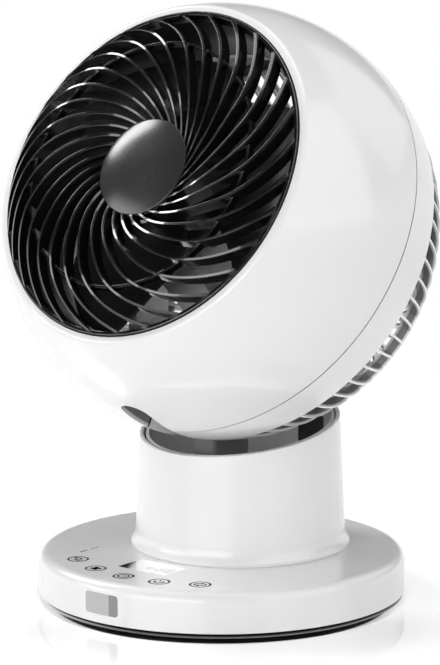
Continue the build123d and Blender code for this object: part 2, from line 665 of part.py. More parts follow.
def swing_sun_gear():
    """Fixed gear on the collar; its underside keeps the turntable down."""
    wheel = gear(SUN_TEETH, SWING_MODULE, SUN_T, 90) - rod(SUN_BORE_R, -1, SUN_T + 1)
    wheel = Pos(0, NECK_Y, COLLAR_TOP_Z) * wheel
    cuts = []
    for x, y in sun_screw_spots():
        cuts.append(rod(SMALL_SCREW_R, COLLAR_TOP_Z - 1, COLLAR_TOP_Z + SUN_T + 1, x, y))
        cuts.append(rod(SMALL_HEAD_R + FACE_GAP, SUN_SCREW_HEAD_Z, COLLAR_TOP_Z + SUN_T + 1, x, y))
    return wheel - cuts


def sun_gear_screws():
    return screws(sun_screw_spots(), SUN_SCREW_HEAD_Z, SUN_SCREW_TIP_Z, small=True)


def swing_pinion():
    """Pinion and its shaft, in mesh behind the sun gear."""
    z0 = COLLAR_TOP_Z + SUN_T - SWING_PINION_T
    facing = 270 + 180 / SWING_PINION_TEETH
    wheel = Pos(0, SWING_PINION_Y, z0) * gear(SWING_PINION_TEETH, SWING_MODULE, SWING_PINION_T, facing)
    return wheel + rod(MOTOR_SHAFT_R, z0, PLATE_TOP_Z + SHAFT_SEAT, 0, SWING_PINION_Y)


def swing_motor():
    """Gear motor standing on the fork's foot plate, shaft down."""
    body = rod(SWING_MOTOR_R, PLATE_TOP_Z, PLATE_TOP_Z + SWING_MOTOR_H, 0, SWING_PINION_Y)
    for x, y in swing_ear_spots():
        body += rod(SWING_EAR_R, PLATE_TOP_Z, PLATE_TOP_Z + SWING_EAR_T, x, y)
    bore_z = (PLATE_TOP_Z - 1, PLATE_TOP_Z + SHAFT_SEAT + FACE_GAP)
    bore = rod(MOTOR_SHAFT_R + RUN_FIT, *bore_z, 0, SWING_PINION_Y)
    holes = [rod(SMALL_SCREW_R, PLATE_Z, PLATE_TOP_Z + 2, x, y) for x, y in swing_ear_spots()]
    return body - [bore] - holes


def swing_ear_spots():
    return [(side * (SWING_MOTOR_R + 1.8), SWING_PINION_Y - SWING_EAR_BACK) for side in (-1, 1)]


def swing_motor_screws():
    return screws(swing_ear_spots(), PLATE_TOP_Z + SWING_EAR_T, PLATE_Z, small=True)


# ---- Neck -------------------------------------------------------------------------------------
def above_rim(drop):
    """Everything above the slanted rim plane, lowered by drop; used as a cutter."""
    size = 4 * NECK_FOOT_R
    top = Pos(0, NECK_Y, RIM_Z - drop) * Rot(RIM_SLOPE, 0, 0)
    return top * Pos(0, 0, size / 2) * Box(size, size, size)


def neck_outline_r(z):
    """Outer radius of the tapered wall at a height."""
    return NECK_LOW_R - NECK_TAPER * (z - NECK_FLARE_TOP_Z)


def neck_blank():
    """Tapered tube with a flared foot, before the rim is cut."""
    top_z = RIM_TOP_Z + 4
    top_r = neck_outline_r(top_z)
    foot_top = NECK_FOOT_Z + NECK_FOOT_H
    flare_mid = ((NECK_FOOT_R + NECK_LOW_R) / 2 - NECK_FLARE_BOW, 0, (foot_top + NECK_FLARE_TOP_Z) / 2)
    flare = ThreePointArc((NECK_FOOT_R, 0, foot_top), flare_mid, (NECK_LOW_R, 0, NECK_FLARE_TOP_Z))
    inner_low = NECK_LOW_R - NECK_WALL
    lines = [
        Line((inner_low, 0, NECK_FOOT_Z), (NECK_FOOT_R, 0, NECK_FOOT_Z)),
        Line((NECK_FOOT_R, 0, NECK_FOOT_Z), (NECK_FOOT_R, 0, foot_top)),
        flare,
        Line((NECK_LOW_R, 0, NECK_FLARE_TOP_Z), (top_r, 0, top_z)),
        Line((top_r, 0, top_z), (top_r - NECK_WALL, 0, top_z)),
        Line((top_r - NECK_WALL, 0, top_z), (inner_low, 0, NECK_FLARE_TOP_Z)),
        Line((inner_low, 0, NECK_FLARE_TOP_Z), (inner_low, 0, NECK_FOOT_Z)),
    ]
    return Pos(0, NECK_Y, 0) * revolve(make_face(lines), Axis.Z)


def neck_shell():
    shell = neck_blank() - above_rim(0)
    rim_edges = [edge for edge in shell.edges() if edge.bounding_box().max.Z > RIM_Z + NECK_WALL]
    shell = fillet(rim_edges, NECK_WALL * 0.3)
    ledge_r = neck_outline_r(LINER_FLOOR_Z) - NECK_WALL + 0.4
    shell += pipe(LINER_R - 2 * LINER_T, ledge_r, LINER_FLOOR_Z - LEDGE_T, LINER_FLOOR_Z, 0, NECK_Y)
    for x, y in neck_boss_spots():
        shell += rod(NECK_BOSS_R, TABLE_TOP_Z, TABLE_TOP_Z + NECK_BOSS_H, x, y)
    half = BOSS_WEB / 2
    top_z = TABLE_TOP_Z + NECK_BOSS_H
    web = block(NECK_BOSS_PCR, NECK_LOW_R - NECK_WALL / 2, -half, half, TABLE_TOP_Z, top_z)
    for angle in NECK_BOSS_ANGLES:
        shell += Pos(0, NECK_Y, 0) * Rot(0, 0, angle) * web
    holes = [rod(SCREW_R, TABLE_Z, TABLE_TOP_Z + NECK_BOSS_H - 0.5, x, y) for x, y in neck_boss_spots()]
    return shell - holes


def grommet_box(grow):
    """Block through the liner's rear wall."""
    x0, x1 = GROMMET_X
    z0, z1 = GROMMET_Z
    return block(x0 - grow, x1 + grow, NECK_Y, NECK_Y + NECK_FOOT_R, z0 - grow, z1 + grow)


def neck_liner():
    """Dark inner cup under the ball, open for the stem."""
    wall = pipe(LINER_R - LINER_T, LINER_R, LINER_FLOOR_Z, RIM_TOP_Z + 4, 0, NECK_Y)
    floor = rod(LINER_R - LINER_T / 2, LINER_FLOOR_Z, LINER_FLOOR_Z + LINER_T, 0, NECK_Y)
    liner = (wall - above_rim(LINER_RIM_DROP)) + floor
    half_x = STEM_X / 2 + SEAT_GAP
    half_y = STEM_Y / 2 + SEAT_GAP
    stem_hole = block(-half_x, half_x, -half_y, half_y, LINER_FLOOR_Z - 1, LINER_FLOOR_Z + LINER_T + 1)
    return liner - [stem_hole, grommet_box(0.0)]


def wire_grommet():
    return grommet_box(0.0) & pipe(LINER_R - LINER_T - 0.2, LINER_R, LINER_FLOOR_Z, RIM_Z, 0, NECK_Y)


def stem_blank():
    """The fork's upright, rounded at its edges."""
    top_z = FORK_BAR_Z + FORK_BAR_T / 2
    stem = block(-STEM_X / 2, STEM_X / 2, -STEM_Y / 2, STEM_Y / 2, PLATE_TOP_Z, top_z)
    return fillet(stem.edges().filter_by(Axis.Z), STEM_ROUND)


def fork_arm(side):
    """One upright arm of the fork, with a round eye on the tilt axis."""
    x0 = min(side * FORK_INNER_X, side * FORK_OUTER_X)
    x1 = max(side * FORK_INNER_X, side * FORK_OUTER_X)
    arm = block(x0, x1, -FORK_HALF_Y, FORK_HALF_Y, FORK_BAR_Z, BALL_Z)
    return arm + along_x(rod(FORK_HALF_Y, 0, FORK_ARM_T), x0, 0, BALL_Z)


def tilt_yoke():
    """Fork: foot plate on four legs, stem through the ball's slot, cross-piece and two arms."""
    yoke = rod(PLATE_R, PLATE_Z, PLATE_TOP_Z, 0, NECK_Y)
    for x, y in leg_spots():
        yoke += rod(LEG_R, TABLE_TOP_Z, PLATE_Z, x, y)
    yoke += stem_blank()
    bar_top_z = FORK_BAR_Z + FORK_BAR_T
    yoke += block(-FORK_OUTER_X, FORK_OUTER_X, -FORK_HALF_Y, FORK_HALF_Y, FORK_BAR_Z, bar_top_z)
    yoke += fork_arm(-1)
    yoke += fork_arm(1)
    cuts = [along_x(rod(PIN_R + RUN_FIT, 0, 2 * FORK_OUTER_X + 2), -FORK_OUTER_X - 1, 0, BALL_Z)]
    cuts.append(block(-WIRE_X / 2, WIRE_X / 2, -WIRE_Y / 2, WIRE_Y / 2, PLATE_Z - 1, bar_top_z + 1))
    cuts.append(block(-WIRE_X / 2, WIRE_X / 2, 0, NECK_Y + SUN_BORE_R, PLATE_Z - 1, PLATE_TOP_Z))
    cuts.append(rod(MOTOR_SHAFT_R + SEAT_GAP, PLATE_Z - 1, PLATE_TOP_Z + 1, 0, SWING_PINION_Y))
    cuts += [rod(SCREW_R, TABLE_TOP_Z - 1, PLATE_Z - 0.5, x, y) for x, y in leg_spots()]
    cuts += [rod(SMALL_SCREW_R, PLATE_Z - 1, PLATE_TOP_Z + 1, x, y) for x, y in swing_ear_spots()]
    cuts += [along_x(rod(SMALL_SCREW_R, 0, GEAR_SCREW_DEPTH), FORK_OUTER_X - GEAR_SCREW_DEPTH, y, z + BALL_Z)
             for y, z in gear_screw_spots()]
    return yoke - cuts


def gear_screw_spots():
    """Screws of the tilt gear, as (y, z) offsets from the tilt axis."""
    return spots(GEAR_SCREW_PCR, GEAR_SCREW_ANGLES)


# ---- Tilt bearings and drive --------------------------------------------------------------------
def tilt_gear():
    """Fixed gear on the fork's right arm, with a tooth towards the pinion at rest."""
    wheel = gear(TILT_TEETH, TILT_MODULE, TILT_GEAR_T, TILT_PINION_ANGLE)
    wheel -= rod(PIN_R + RUN_FIT, -1, TILT_GEAR_T + 1)
    wheel = HEAD * along_x(wheel, FORK_OUTER_X)
    cuts = []
    for y, z in gear_screw_spots():
        cuts.append(along_x(rod(SMALL_SCREW_R, -1, TILT_GEAR_T + 1), FORK_OUTER_X, y, z + BALL_Z))
        cuts.append(along_x(rod(SMALL_HEAD_R + FACE_GAP, 0, 5), GEAR_SCREW_HEAD_X, y, z + BALL_Z))
    return wheel - cuts


def tilt_gear_screws():
    solids = []
    length = GEAR_SCREW_HEAD_X - FORK_OUTER_X + GEAR_SCREW_DEPTH - 0.5
    for y, z in gear_screw_spots():
        one = screw(0, 0, 0, -length, SMALL_SCREW_R, SMALL_HEAD_R, SMALL_HEAD_T)
        solids.append(along_x(one, GEAR_SCREW_HEAD_X, y, z + BALL_Z).solid())
    return Compound(solids)


def tilt_spacers():
    """Left spacer bush, and a friction washer on each side."""
    bush = pipe(PIN_R + RUN_FIT, WASHER_R, 0, TILT_GEAR_T)
    washer = pipe(PIN_R + RUN_FIT, WASHER_R, 0, WASHER_T)
    left_bush = along_x(bush, -FORK_OUTER_X - TILT_GEAR_T, 0, BALL_Z)
    left_washer = along_x(washer, -BRACKET_X + FACE_GAP, 0, BALL_Z)
    right_washer = along_x(washer, BRACKET_X - FACE_GAP - WASHER_T, 0, BALL_Z)
    return Compound([left_bush.solid(), left_washer.solid(), right_washer.solid()])


def tilt_pins():
    """Headed pins: fast in the brackets, turning in the fork's eyes."""
    tip_x = FORK_INNER_X - PIN_TIP
    pin = rod(PIN_R, tip_x, BRACKET_OUTER_X) + rod(PIN_HEAD_R, BRACKET_OUTER_X, BRACKET_OUTER_X + PIN_HEAD_T)
    groove_x = FORK_INNER_X - FACE_GAP - CLIP_T
    pin -= pipe(PIN_R - CLIP_GROOVE, PIN_R + 1, groove_x, groove_x + CLIP_T)
    right = along_x(pin, 0, 0, BALL_Z)
    left = mirror(right, Plane.YZ)
    return Compound([right.solid(), left.solid()])


def pin_clips():
    groove_x = FORK_INNER_X - FACE_GAP - CLIP_T
    clip = pipe(PIN_R - CLIP_GROOVE, CLIP_R, groove_x, groove_x + CLIP_T)
    clip -= block(PIN_R - 2 * CLIP_GROOVE, CLIP_R + 1, -CLIP_T, CLIP_T, groove_x - 1, groove_x + CLIP_T + 1)
    right = along_x(clip, 0, 0, BALL_Z)
    return Compound([right.solid(), mirror(right, Plane.YZ).solid()])


def bracket(side):
    """Plate beside the fork with the tilt pin's eye and a foot on the motor mount."""
    half = BRACKET_HALF_Y
    plate = block(BRACKET_X, BRACKET_OUTER_X, -half, half, 0, MOUNT_D)
    plate += along_x(rod(BRACKET_EYE_R, 0, BRACKET_T), BRACKET_X)
    plate += block(BRACKET_X, BRACKET_OUTER_X + BRACKET_FOOT, -half, half, MOUNT_D - BRACKET_FOOT_T, MOUNT_D)
    if side > 0:
        drive = (BRACKET_X, TILT_PINION_Y, TILT_PINION_D)
        plate += along_x(rod(TILT_MOTOR_R + TILT_EAR, 0, BRACKET_T), *drive)
        plate += block(BRACKET_X, BRACKET_OUTER_X, 0, TILT_PINION_Y, TILT_PINION_D - half, half)
        plate -= along_x(rod(TILT_SHAFT_R + SEAT_GAP, -1, BRACKET_T + 1), *drive)
        hole = rod(SMALL_SCREW_R, -1, BRACKET_T + 1)
        plate -= [along_x(hole, BRACKET_X, y, z) for y, z in tilt_ear_spots()]
    plate -= along_x(rod(PIN_R, -1, BRACKET_T + 1), BRACKET_X)
    plate -= [rod(SMALL_SCREW_R, 0, MOUNT_D + 1, x, y) for x, y in bracket_screw_spots(1)]
    return HEAD * (plate if side > 0 else mirror(plate, Plane.YZ))


def bracket_screw_spots(side):
    x = BRACKET_OUTER_X + BRACKET_FOOT / 2
    return [(side * x, -BRACKET_HALF_Y / 2), (side * x, BRACKET_HALF_Y / 2)]


def tilt_ear_spots():
    """Screw points of the tilt motor, as (y, z) in the head's frame."""
    reach = (TILT_MOTOR_R - TILT_EAR_INSET) * TILT_EAR_SIDE
    return [(TILT_PINION_Y + side * reach, TILT_PINION_D + side * reach) for side in (-1, 1)]


def tilt_motor():
    """Gear motor on the right bracket, shaft towards the fork."""
    seat = (BRACKET_OUTER_X, TILT_PINION_Y, TILT_PINION_D)
    body = along_x(rod(TILT_MOTOR_R, TILT_EAR_T, TILT_MOTOR_L), *seat)
    flute = rod(SMALL_HEAD_R + 2 * SEAT_GAP, 0, TILT_MOTOR_L + 1)
    body -= [along_x(flute, BRACKET_OUTER_X, y, z) for y, z in tilt_ear_spots()]
    body += along_x(rod(TILT_MOTOR_R + TILT_EAR, 0, TILT_EAR_T), *seat)
    hole = rod(SMALL_SCREW_R, -1, TILT_EAR_T + 1)
    body -= [along_x(hole, BRACKET_OUTER_X, y, z) for y, z in tilt_ear_spots()]
    body -= along_x(rod(TILT_SHAFT_R + RUN_FIT, -1, SHAFT_SEAT + FACE_GAP), *seat)
    return HEAD * body


def tilt_motor_screws():
    solids = []
    for y, z in tilt_ear_spots():
        one = screw(0, 0, 0, -BRACKET_T - TILT_EAR_T + 0.5, SMALL_SCREW_R, SMALL_HEAD_R, SMALL_HEAD_T)
        solids.append((HEAD * along_x(one, BRACKET_OUTER_X + TILT_EAR_T, y, z)).solid())
    return Compound(solids)


def tilt_pinion():
    """Pinion and its shaft, in mesh with the gear on the fork."""
    x0 = FORK_OUTER_X + (TILT_GEAR_T - TILT_PINION_T) / 2
    place = (x0, TILT_PINION_Y, TILT_PINION_D)
    facing = TILT_PINION_ANGLE + 180 + 180 / TILT_PINION_TEETH
    wheel = along_x(gear(TILT_PINION_TEETH, TILT_MODULE, TILT_PINION_T, facing), *place)
    wheel += along_x(rod(TILT_SHAFT_R, 0, BRACKET_OUTER_X + SHAFT_SEAT - x0), *place)
    return HEAD * wheel


# ---- Ball shells --------------------------------------------------------------------------------
def slot_angles():
    """Centres of the slot's round ends, measured from the head's front axis round under the ball."""
    stem_half = degrees(asin(STEM_Y / 2 / BALL_R))
    corner = degrees(asin(sqrt(SLOT_HALF**2 - (STEM_X / 2)**2) / BALL_R))
    reach = stem_half + SLOT_MARGIN - corner
    return 90 + TILT_RANGE[0] - reach, 90 + TILT_RANGE[1] + reach


def slot_tool(half_width, r_in, r_out):
    """Band under the ball that the stem sweeps as the head tilts, with round ends."""
    start, end = slot_angles()
    corners = ((-half_width, r_in), (half_width, r_in), (half_width, r_out), (-half_width, r_out))
    strip = Polyline(*[(x, 0, r) for x, r in corners], close=True)
    band = revolve(Rot(start, 0, 0) * make_face(strip), Axis.X, end - start)
    for angle in (start, end):
        band += Rot(angle, 0, 0) * rod(half_width, r_in, r_out)
    return band


def slot_rail(d0, d1):
    """Wall round the slot, inside the ball, between two places along the head's axis."""
    rail = slot_tool(SLOT_HALF + SLOT_RAIL, BALL_R - SLOT_RAIL_DEPTH - 3, BALL_R + 1)
    skin = Sphere(BALL_R - SHELL_T / 2) - Sphere(BALL_R - SLOT_RAIL_DEPTH)
    return rail & skin & slab(d0, d1)


def slot_cut():
    return slot_tool(SLOT_HALF, BALL_R - SLOT_RAIL_DEPTH - 6, BALL_R + 4)


def shell_boss(angle, d0, d1):
    """Screw boss on the shell's inside, tied to the wall by a web."""
    x, y = polar(SHELL_SCREW_PCR, angle)
    web = Rot(0, 0, angle) * block(SHELL_SCREW_PCR, BALL_R, -BOSS_WEB / 2, BOSS_WEB / 2, d0, d1)
    return (rod(SHELL_BOSS_R, d0, d1, x, y) + web) & Sphere(BALL_R - SHELL_T / 2)


def shell_screw_spots():
    return spots(SHELL_SCREW_PCR, SHELL_SCREW_ANGLES)


def front_shell():
    outer = Sphere(BALL_R) & slab(SEAM_FRONT_D, LIP_D)
    inner = Sphere(BALL_R - SHELL_T) & slab(SEAM_FRONT_D - 1, LIP_D - LIP_T)
    shell = outer - [inner, rod(LIP_BORE_R, 0, LIP_D + 1)]
    rims = shell.edges().filter_by(GeomType.CIRCLE).group_by(Axis.Z)[-1].sort_by(SortBy.RADIUS)
    shell = fillet(rims[-1], LIP_ROUND)
    for angle in SHELL_SCREW_ANGLES:
        shell += shell_boss(angle, SEAM_FRONT_D, SEAM_FRONT_D + SHELL_BOSS_FRONT)
    shell += slot_rail(SEAM_FRONT_D, BALL_R / 2)
    cuts = [slot_cut()]
    cuts += [rod(SCREW_R, SEAM_D - 1, SHELL_SCREW_TIP_D + 0.5, x, y) for x, y in shell_screw_spots()]
    duct_tip_d = DUCT_FRONT_D - DUCT_FLANGE_T + SMALL_SCREW_L
    cuts += [rod(SMALL_SCREW_R, 0, duct_tip_d, x, y) for x, y in duct_screw_spots()]
    return HEAD * (shell - cuts)


def guard_slot(index, r_in, r_out):
    """One see-through slot between two ribs, as a prism along the head's axis."""
    pitch = 2 * pi / GUARD_SLOTS
    points = []
    for radius in (r_in, r_out):
        half = pitch / 2 - asin(GUARD_RIB / 2 / radius)
        points.append((radius * cos(half), radius * sin(half)))
    (x0, y0), (x1, y1) = points
    outline = [
        ThreePointArc((x0, -y0), (r_in, 0), (x0, y0)),
        Line((x0, y0), (x1, y1)),
        ThreePointArc((x1, y1), (r_out, 0), (x1, -y1)),
        Line((x1, -y1), (x0, -y0)),
    ]
    prism = extrude(make_face(outline), BALL_R)
    return Rot(0, 0, degrees(pitch) * index) * Pos(0, 0, GUARD_D - BALL_R) * prism


def joint_ring(joint_d, reach):
    """Ring on a rear piece that centres it inside the piece in front of a joint."""
    inside = BALL_R - SHELL_T
    ahead = Sphere(inside - SEAT_GAP / 2) & slab(joint_d, joint_d + reach)
    behind = Sphere(inside + SHELL_T / 2) & slab(joint_d - GUARD_FRAME, joint_d)
    ring = (ahead + behind) - Sphere(inside - TONGUE_T)
    return ring - slot_tool(SLOT_HALF + SLOT_RAIL + SEAT_GAP, BALL_R - SLOT_RAIL_DEPTH, BALL_R)


def rear_shell():
    """Belt of the ball between the front shell and the guard, with the screw bosses."""
    belt = (Sphere(BALL_R) - Sphere(BALL_R - SHELL_T)) & slab(GUARD_SEAM_D, SEAM_REAR_D)
    tongue = joint_ring(SEAM_REAR_D, TONGUE_REACH)
    half = BOSS_WEB / 2 + 1.0
    for angle in SHELL_SCREW_ANGLES:
        x, y = polar(SHELL_SCREW_PCR, angle)
        tongue -= rod(SHELL_BOSS_R + SHELL_T, SEAM_REAR_D, 0, x, y)
        tongue -= Rot(0, 0, angle) * block(SHELL_SCREW_PCR, BALL_R, -half, half, SEAM_REAR_D, 0)
    belt += tongue
    for angle in SHELL_SCREW_ANGLES:
        belt += shell_boss(angle, SHELL_SCREW_HEAD_D, SEAM_REAR_D)
    belt += slot_rail(GUARD_SEAM_D, SEAM_REAR_D)
    cuts = [slot_cut()]
    cuts += [rod(SCREW_R, SHELL_SCREW_HEAD_D - 1, SEAM_D + 1, x, y) for x, y in shell_screw_spots()]
    return HEAD * (belt - cuts)


def rear_guard():
    """Rear of the ball: closed cap, two rows of slots and the ring that seats in the rear shell."""
    thin = Sphere(BALL_R - SHELL_T) & rod(GUARD_CAP_R - GUARD_FRAME, -BALL_R, -BALL_R / 2)
    guard = (Sphere(BALL_R) - Sphere(BALL_R - GUARD_DEPTH)) & slab(-BALL_R, GUARD_SEAM_D)
    guard -= thin
    guard += joint_ring(GUARD_SEAM_D, GUARD_SPIGOT)
    half_ring = GUARD_FRAME / 2
    rows = ((GUARD_CAP_R, GUARD_RING_R - half_ring), (GUARD_RING_R + half_ring, GUARD_R))
    guard -= [guard_slot(i, *row) for i in range(GUARD_SLOTS) for row in rows]
    guard += slot_rail(-BALL_R, GUARD_SEAM_D)
    access = rod(SCREW_HEAD_R + SEAT_GAP, GUARD_D - 1, GUARD_SEAM_D + GUARD_SPIGOT + 1)
    cuts = [slot_cut()]
    cuts += [Pos(x, y, 0) * access for x, y in shell_screw_spots()]
    return HEAD * (guard - cuts)


def shell_screws():
    return HEAD * screws(shell_screw_spots(), SHELL_SCREW_HEAD_D, SHELL_SCREW_TIP_D)


# ---- Duct and motor mount -------------------------------------------------------------------------
def mount_screw_spots():
    return spots(MOUNT_SCREW_PCR, DUCT_SCREW_ANGLES)


def duct_screw_spots():
    return spots(DUCT_SCREW_PCR, DUCT_SCREW_ANGLES)


def duct_ring():
    """Tube round the impeller with a flange behind the shell's lip and one on the motor mount."""
    duct = pipe(DUCT_R, DUCT_R + DUCT_WALL, MOUNT_FRONT_D, DUCT_FRONT_D)
    duct += pipe(DUCT_R, DUCT_FLANGE_R, DUCT_FRONT_D - DUCT_FLANGE_T, DUCT_FRONT_D)
    duct += pipe(DUCT_R, DUCT_REAR_FLANGE_R, MOUNT_FRONT_D, MOUNT_FRONT_D + DUCT_FLANGE_T)
    cuts = [rod(SMALL_SCREW_R, DUCT_FRONT_D - 4, DUCT_FRONT_D + 1, x, y) for x, y in duct_screw_spots()]
    cuts += [rod(SMALL_SCREW_R, MOUNT_D, MOUNT_D + SMALL_SCREW_L, x, y) for x, y in mount_screw_spots()]
    cuts += [hook_slot(angle) for angle in HOOK_ANGLES]
    return HEAD * (duct - cuts)


def frame_screws():
    """Equal small screws: duct to the front shell, mount to the duct, brackets to the mount."""
    sets = (
        (duct_screw_spots(), DUCT_FRONT_D - DUCT_FLANGE_T),
        (mount_screw_spots(), MOUNT_D),
        (bracket_screw_spots(1) + bracket_screw_spots(-1), MOUNT_D - BRACKET_FOOT_T),
    )
    solids = []
    for points, head_d in sets:
        solids += screws(points, head_d, head_d + SMALL_SCREW_L, small=True).solids()
    return HEAD * Compound(solids)


def motor_screw_spots():
    return spots(MOTOR_SCREW_PCR, (45, 135, 225, 315))


def motor_mount():
    """Spider that carries the motor in the middle of the duct."""
    rim_r = DUCT_R + DUCT_WALL
    mount = rod(MOUNT_HUB_R, MOUNT_D, MOUNT_FRONT_D)
    mount += pipe(DUCT_R + MOUNT_RIM_STEP, DUCT_REAR_FLANGE_R, MOUNT_D, MOUNT_FRONT_D)
    half = MOUNT_ARM_W / 2
    arm = block(MOUNT_HUB_R - half, rim_r, -half, half, MOUNT_D, MOUNT_FRONT_D)
    mount += [Rot(0, 0, angle) * arm for angle in MOUNT_ARM_ANGLES]
    width, offset = MOUNT_SIDE_ARM
    low, high = -offset - width / 2, -offset + width / 2
    arm = block(0, sqrt(rim_r**2 - offset**2), low, high, MOUNT_D, MOUNT_FRONT_D)
    mount += [Rot(0, 0, angle) * arm for angle in MOUNT_SIDE_ARM_ANGLES]
    half = MOUNT_PAD[1] / 2
    pad = block(MOUNT_PAD[0], rim_r, -half, half, MOUNT_D, MOUNT_FRONT_D)
    mount += [pad, Rot(0, 0, 180) * pad]
    cuts = [rod(MOTOR_BOSS_R + SEAT_GAP, MOUNT_D - 1, MOUNT_FRONT_D + 1)]
    small_holes = mount_screw_spots() + bracket_screw_spots(1) + bracket_screw_spots(-1)
    cuts += [rod(SMALL_SCREW_R, MOUNT_D - 1, MOUNT_FRONT_D + 1, x, y) for x, y in small_holes]
    cuts += [rod(SCREW_R, MOUNT_D - 1, MOUNT_FRONT_D + 1, x, y) for x, y in motor_screw_spots()]
    return HEAD * (mount - cuts)


# ---- Grille ---------------------------------------------------------------------------------------
def dome_arcs(shift):
    """The grille's front line from its ring to its hub, as two arcs that meet at the crown."""
    def dome(radius):
        arc = DOME_OUTER_ARC if radius > DOME_R else DOME_INNER_ARC
        return DOME_D - arc + sqrt(arc**2 - (radius - DOME_R)**2) + shift

    outer = (GRILLE_RING_R - GRILLE_RING_W / 2, (GRILLE_RING_R + DOME_R) / 2, DOME_R)
    inner = (DOME_R, (DOME_R + BADGE_R) / 2, BADGE_R - 1.0)
    return [[(r, 0, dome(r)) for r in radii] for radii in (outer, inner)]


def rib_band():
    """Ring-shaped body between the ribs' front edge and their back edge."""
    front = dome_arcs(0)
    back = dome_arcs(-RIB_DEPTH)
    lines = [
        ThreePointArc(*front[0]), ThreePointArc(*front[1]),
        Line(front[1][2], back[1][2]),
        ThreePointArc(*reversed(back[1])), ThreePointArc(*reversed(back[0])),
        Line(back[0][0], front[0][0]),
    ]
    band = revolve(make_face(lines), Axis.Z)
    band &= slab(DUCT_FRONT_D + FACE_GAP, DOME_D + 1)
    return band - rod(BADGE_R + FACE_GAP, BADGE_SEAT_D, DOME_D + 1)


def rib_path():
    """Points of one rib's spiral, as (radius, angle clockwise from up)."""
    step = 0.5
    r = GRILLE_RING_R - GRILLE_RING_W / 2
    angle = 0.0
    path = []
    while r > BADGE_R - 2.0:
        path.append((r, angle))
        lean = RIB_LEAN + RIB_LEAN_RISE * max(0.0, r - RIB_BEND_R)
        angle += degrees(lean * step / r)
        r -= step
    start = min(path, key=lambda point: abs(point[0] - RIB_PHASE_R))[1]
    return [(radius, turn - start + RIB_PHASE) for radius, turn in path]


def rib_face():
    """Spiral strip of even width, drawn flat."""
    path = rib_path()
    count = ceil(len(path) / 14)
    picked = path[::count] + ([path[-1]] if (len(path) - 1) % count else [])
    centre = [(r * sin(radians(a)), r * cos(radians(a))) for r, a in picked]
    sides = ([], [])
    for i, (x, y) in enumerate(centre):
        x0, y0 = centre[max(0, i - 1)]
        x1, y1 = centre[min(len(centre) - 1, i + 1)]
        length = hypot(x1 - x0, y1 - y0)
        nx, ny = -(y1 - y0) / length * RIB_W / 2, (x1 - x0) / length * RIB_W / 2
        sides[0].append((x + nx, y + ny))
        sides[1].append((x - nx, y - ny))
    left, right = sides
    outline = [Spline(*left), Line(left[-1], right[-1]), Spline(*reversed(right)), Line(right[0], left[0])]
    return make_face(outline)


def hook_slot(angle):
    """Notch in the duct's front flange for one of the grille's hooks."""
    r_out = GRILLE_RING_R + FACE_GAP
    half = HOOK_W / 2 + SEAT_GAP
    r_in = r_out - HOOK_T - 2 * FACE_GAP
    rear_d = DUCT_FRONT_D - DUCT_FLANGE_T - 1
    return Rot(0, 0, angle) * block(r_in, r_out + FACE_GAP, -half, half, rear_d, DUCT_FRONT_D + 1)


def grille_hook(angle):
    """Springy hook that snaps behind the duct's flange."""
    r_out = GRILLE_RING_R
    half = HOOK_W / 2
    rear_d = DUCT_FRONT_D - DUCT_FLANGE_T - FACE_GAP
    tab = block(r_out - HOOK_T, r_out - HOOK_SINK, -half, half, rear_d - HOOK_T, DUCT_FRONT_D + HOOK_ROOT)
    barb = block(r_out - HOOK_T, r_out + HOOK_BARB, -half, half, rear_d - HOOK_T, rear_d)
    return Rot(0, 0, angle) * (tab + barb)


def front_grille():
    """Ring, thirty spiral ribs, a thin middle ring and a hub that the badge covers."""
    ring = pipe(GRILLE_RING_R - GRILLE_RING_W, GRILLE_RING_R, DUCT_FRONT_D, GRILLE_D)
    ring = fillet(ring.edges().group_by(Axis.Z)[-1], 0.4)
    rib = (Pos(0, 0, DUCT_FRONT_D - 4) * extrude(rib_face(), 2 * RIB_DEPTH + 8)) & rib_band()
    grille = ring + [Rot(0, 0, 360 / RIB_COUNT * i) * rib for i in range(RIB_COUNT)]
    half = MID_RING_W / 2
    grille += pipe(MID_RING_R - half, MID_RING_R + half, MID_RING_D - MID_RING_DEPTH, MID_RING_D)
    grille += rod(BADGE_R + HUB_RIM, BADGE_SEAT_D - HUB_DEPTH, BADGE_SEAT_D)
    grille -= rod(BADGE_PEG_R, BADGE_SEAT_D - BADGE_PEG_L - 0.5, BADGE_SEAT_D + 1)
    grille += [grille_hook(angle) for angle in HOOK_ANGLES]
    return HEAD * grille


def grille_badge():
    """Domed disc in the middle of the grille, plain."""
    edge_d = BADGE_SEAT_D + BADGE_EDGE
    lines = [
        Line((0, 0, BADGE_SEAT_D), (BADGE_R, 0, BADGE_SEAT_D)),
        Line((BADGE_R, 0, BADGE_SEAT_D), (BADGE_R, 0, edge_d)),
        TangentArc((0, 0, edge_d + BADGE_RISE), (BADGE_R, 0, edge_d), tangent=(1, 0, 0)),
        Line((0, 0, edge_d + BADGE_RISE), (0, 0, BADGE_SEAT_D)),
    ]
    disc = revolve(make_face(lines), Axis.Z)
    return HEAD * (disc + rod(BADGE_PEG_R - FACE_GAP / 2, BADGE_SEAT_D - BADGE_PEG_L, BADGE_SEAT_D))


# ---- Fan motor --------------------------------------------------------------------------------------
def case_screw_spots():
    return spots(CASE_SCREW_PCR, (60, 120, 240, 300))


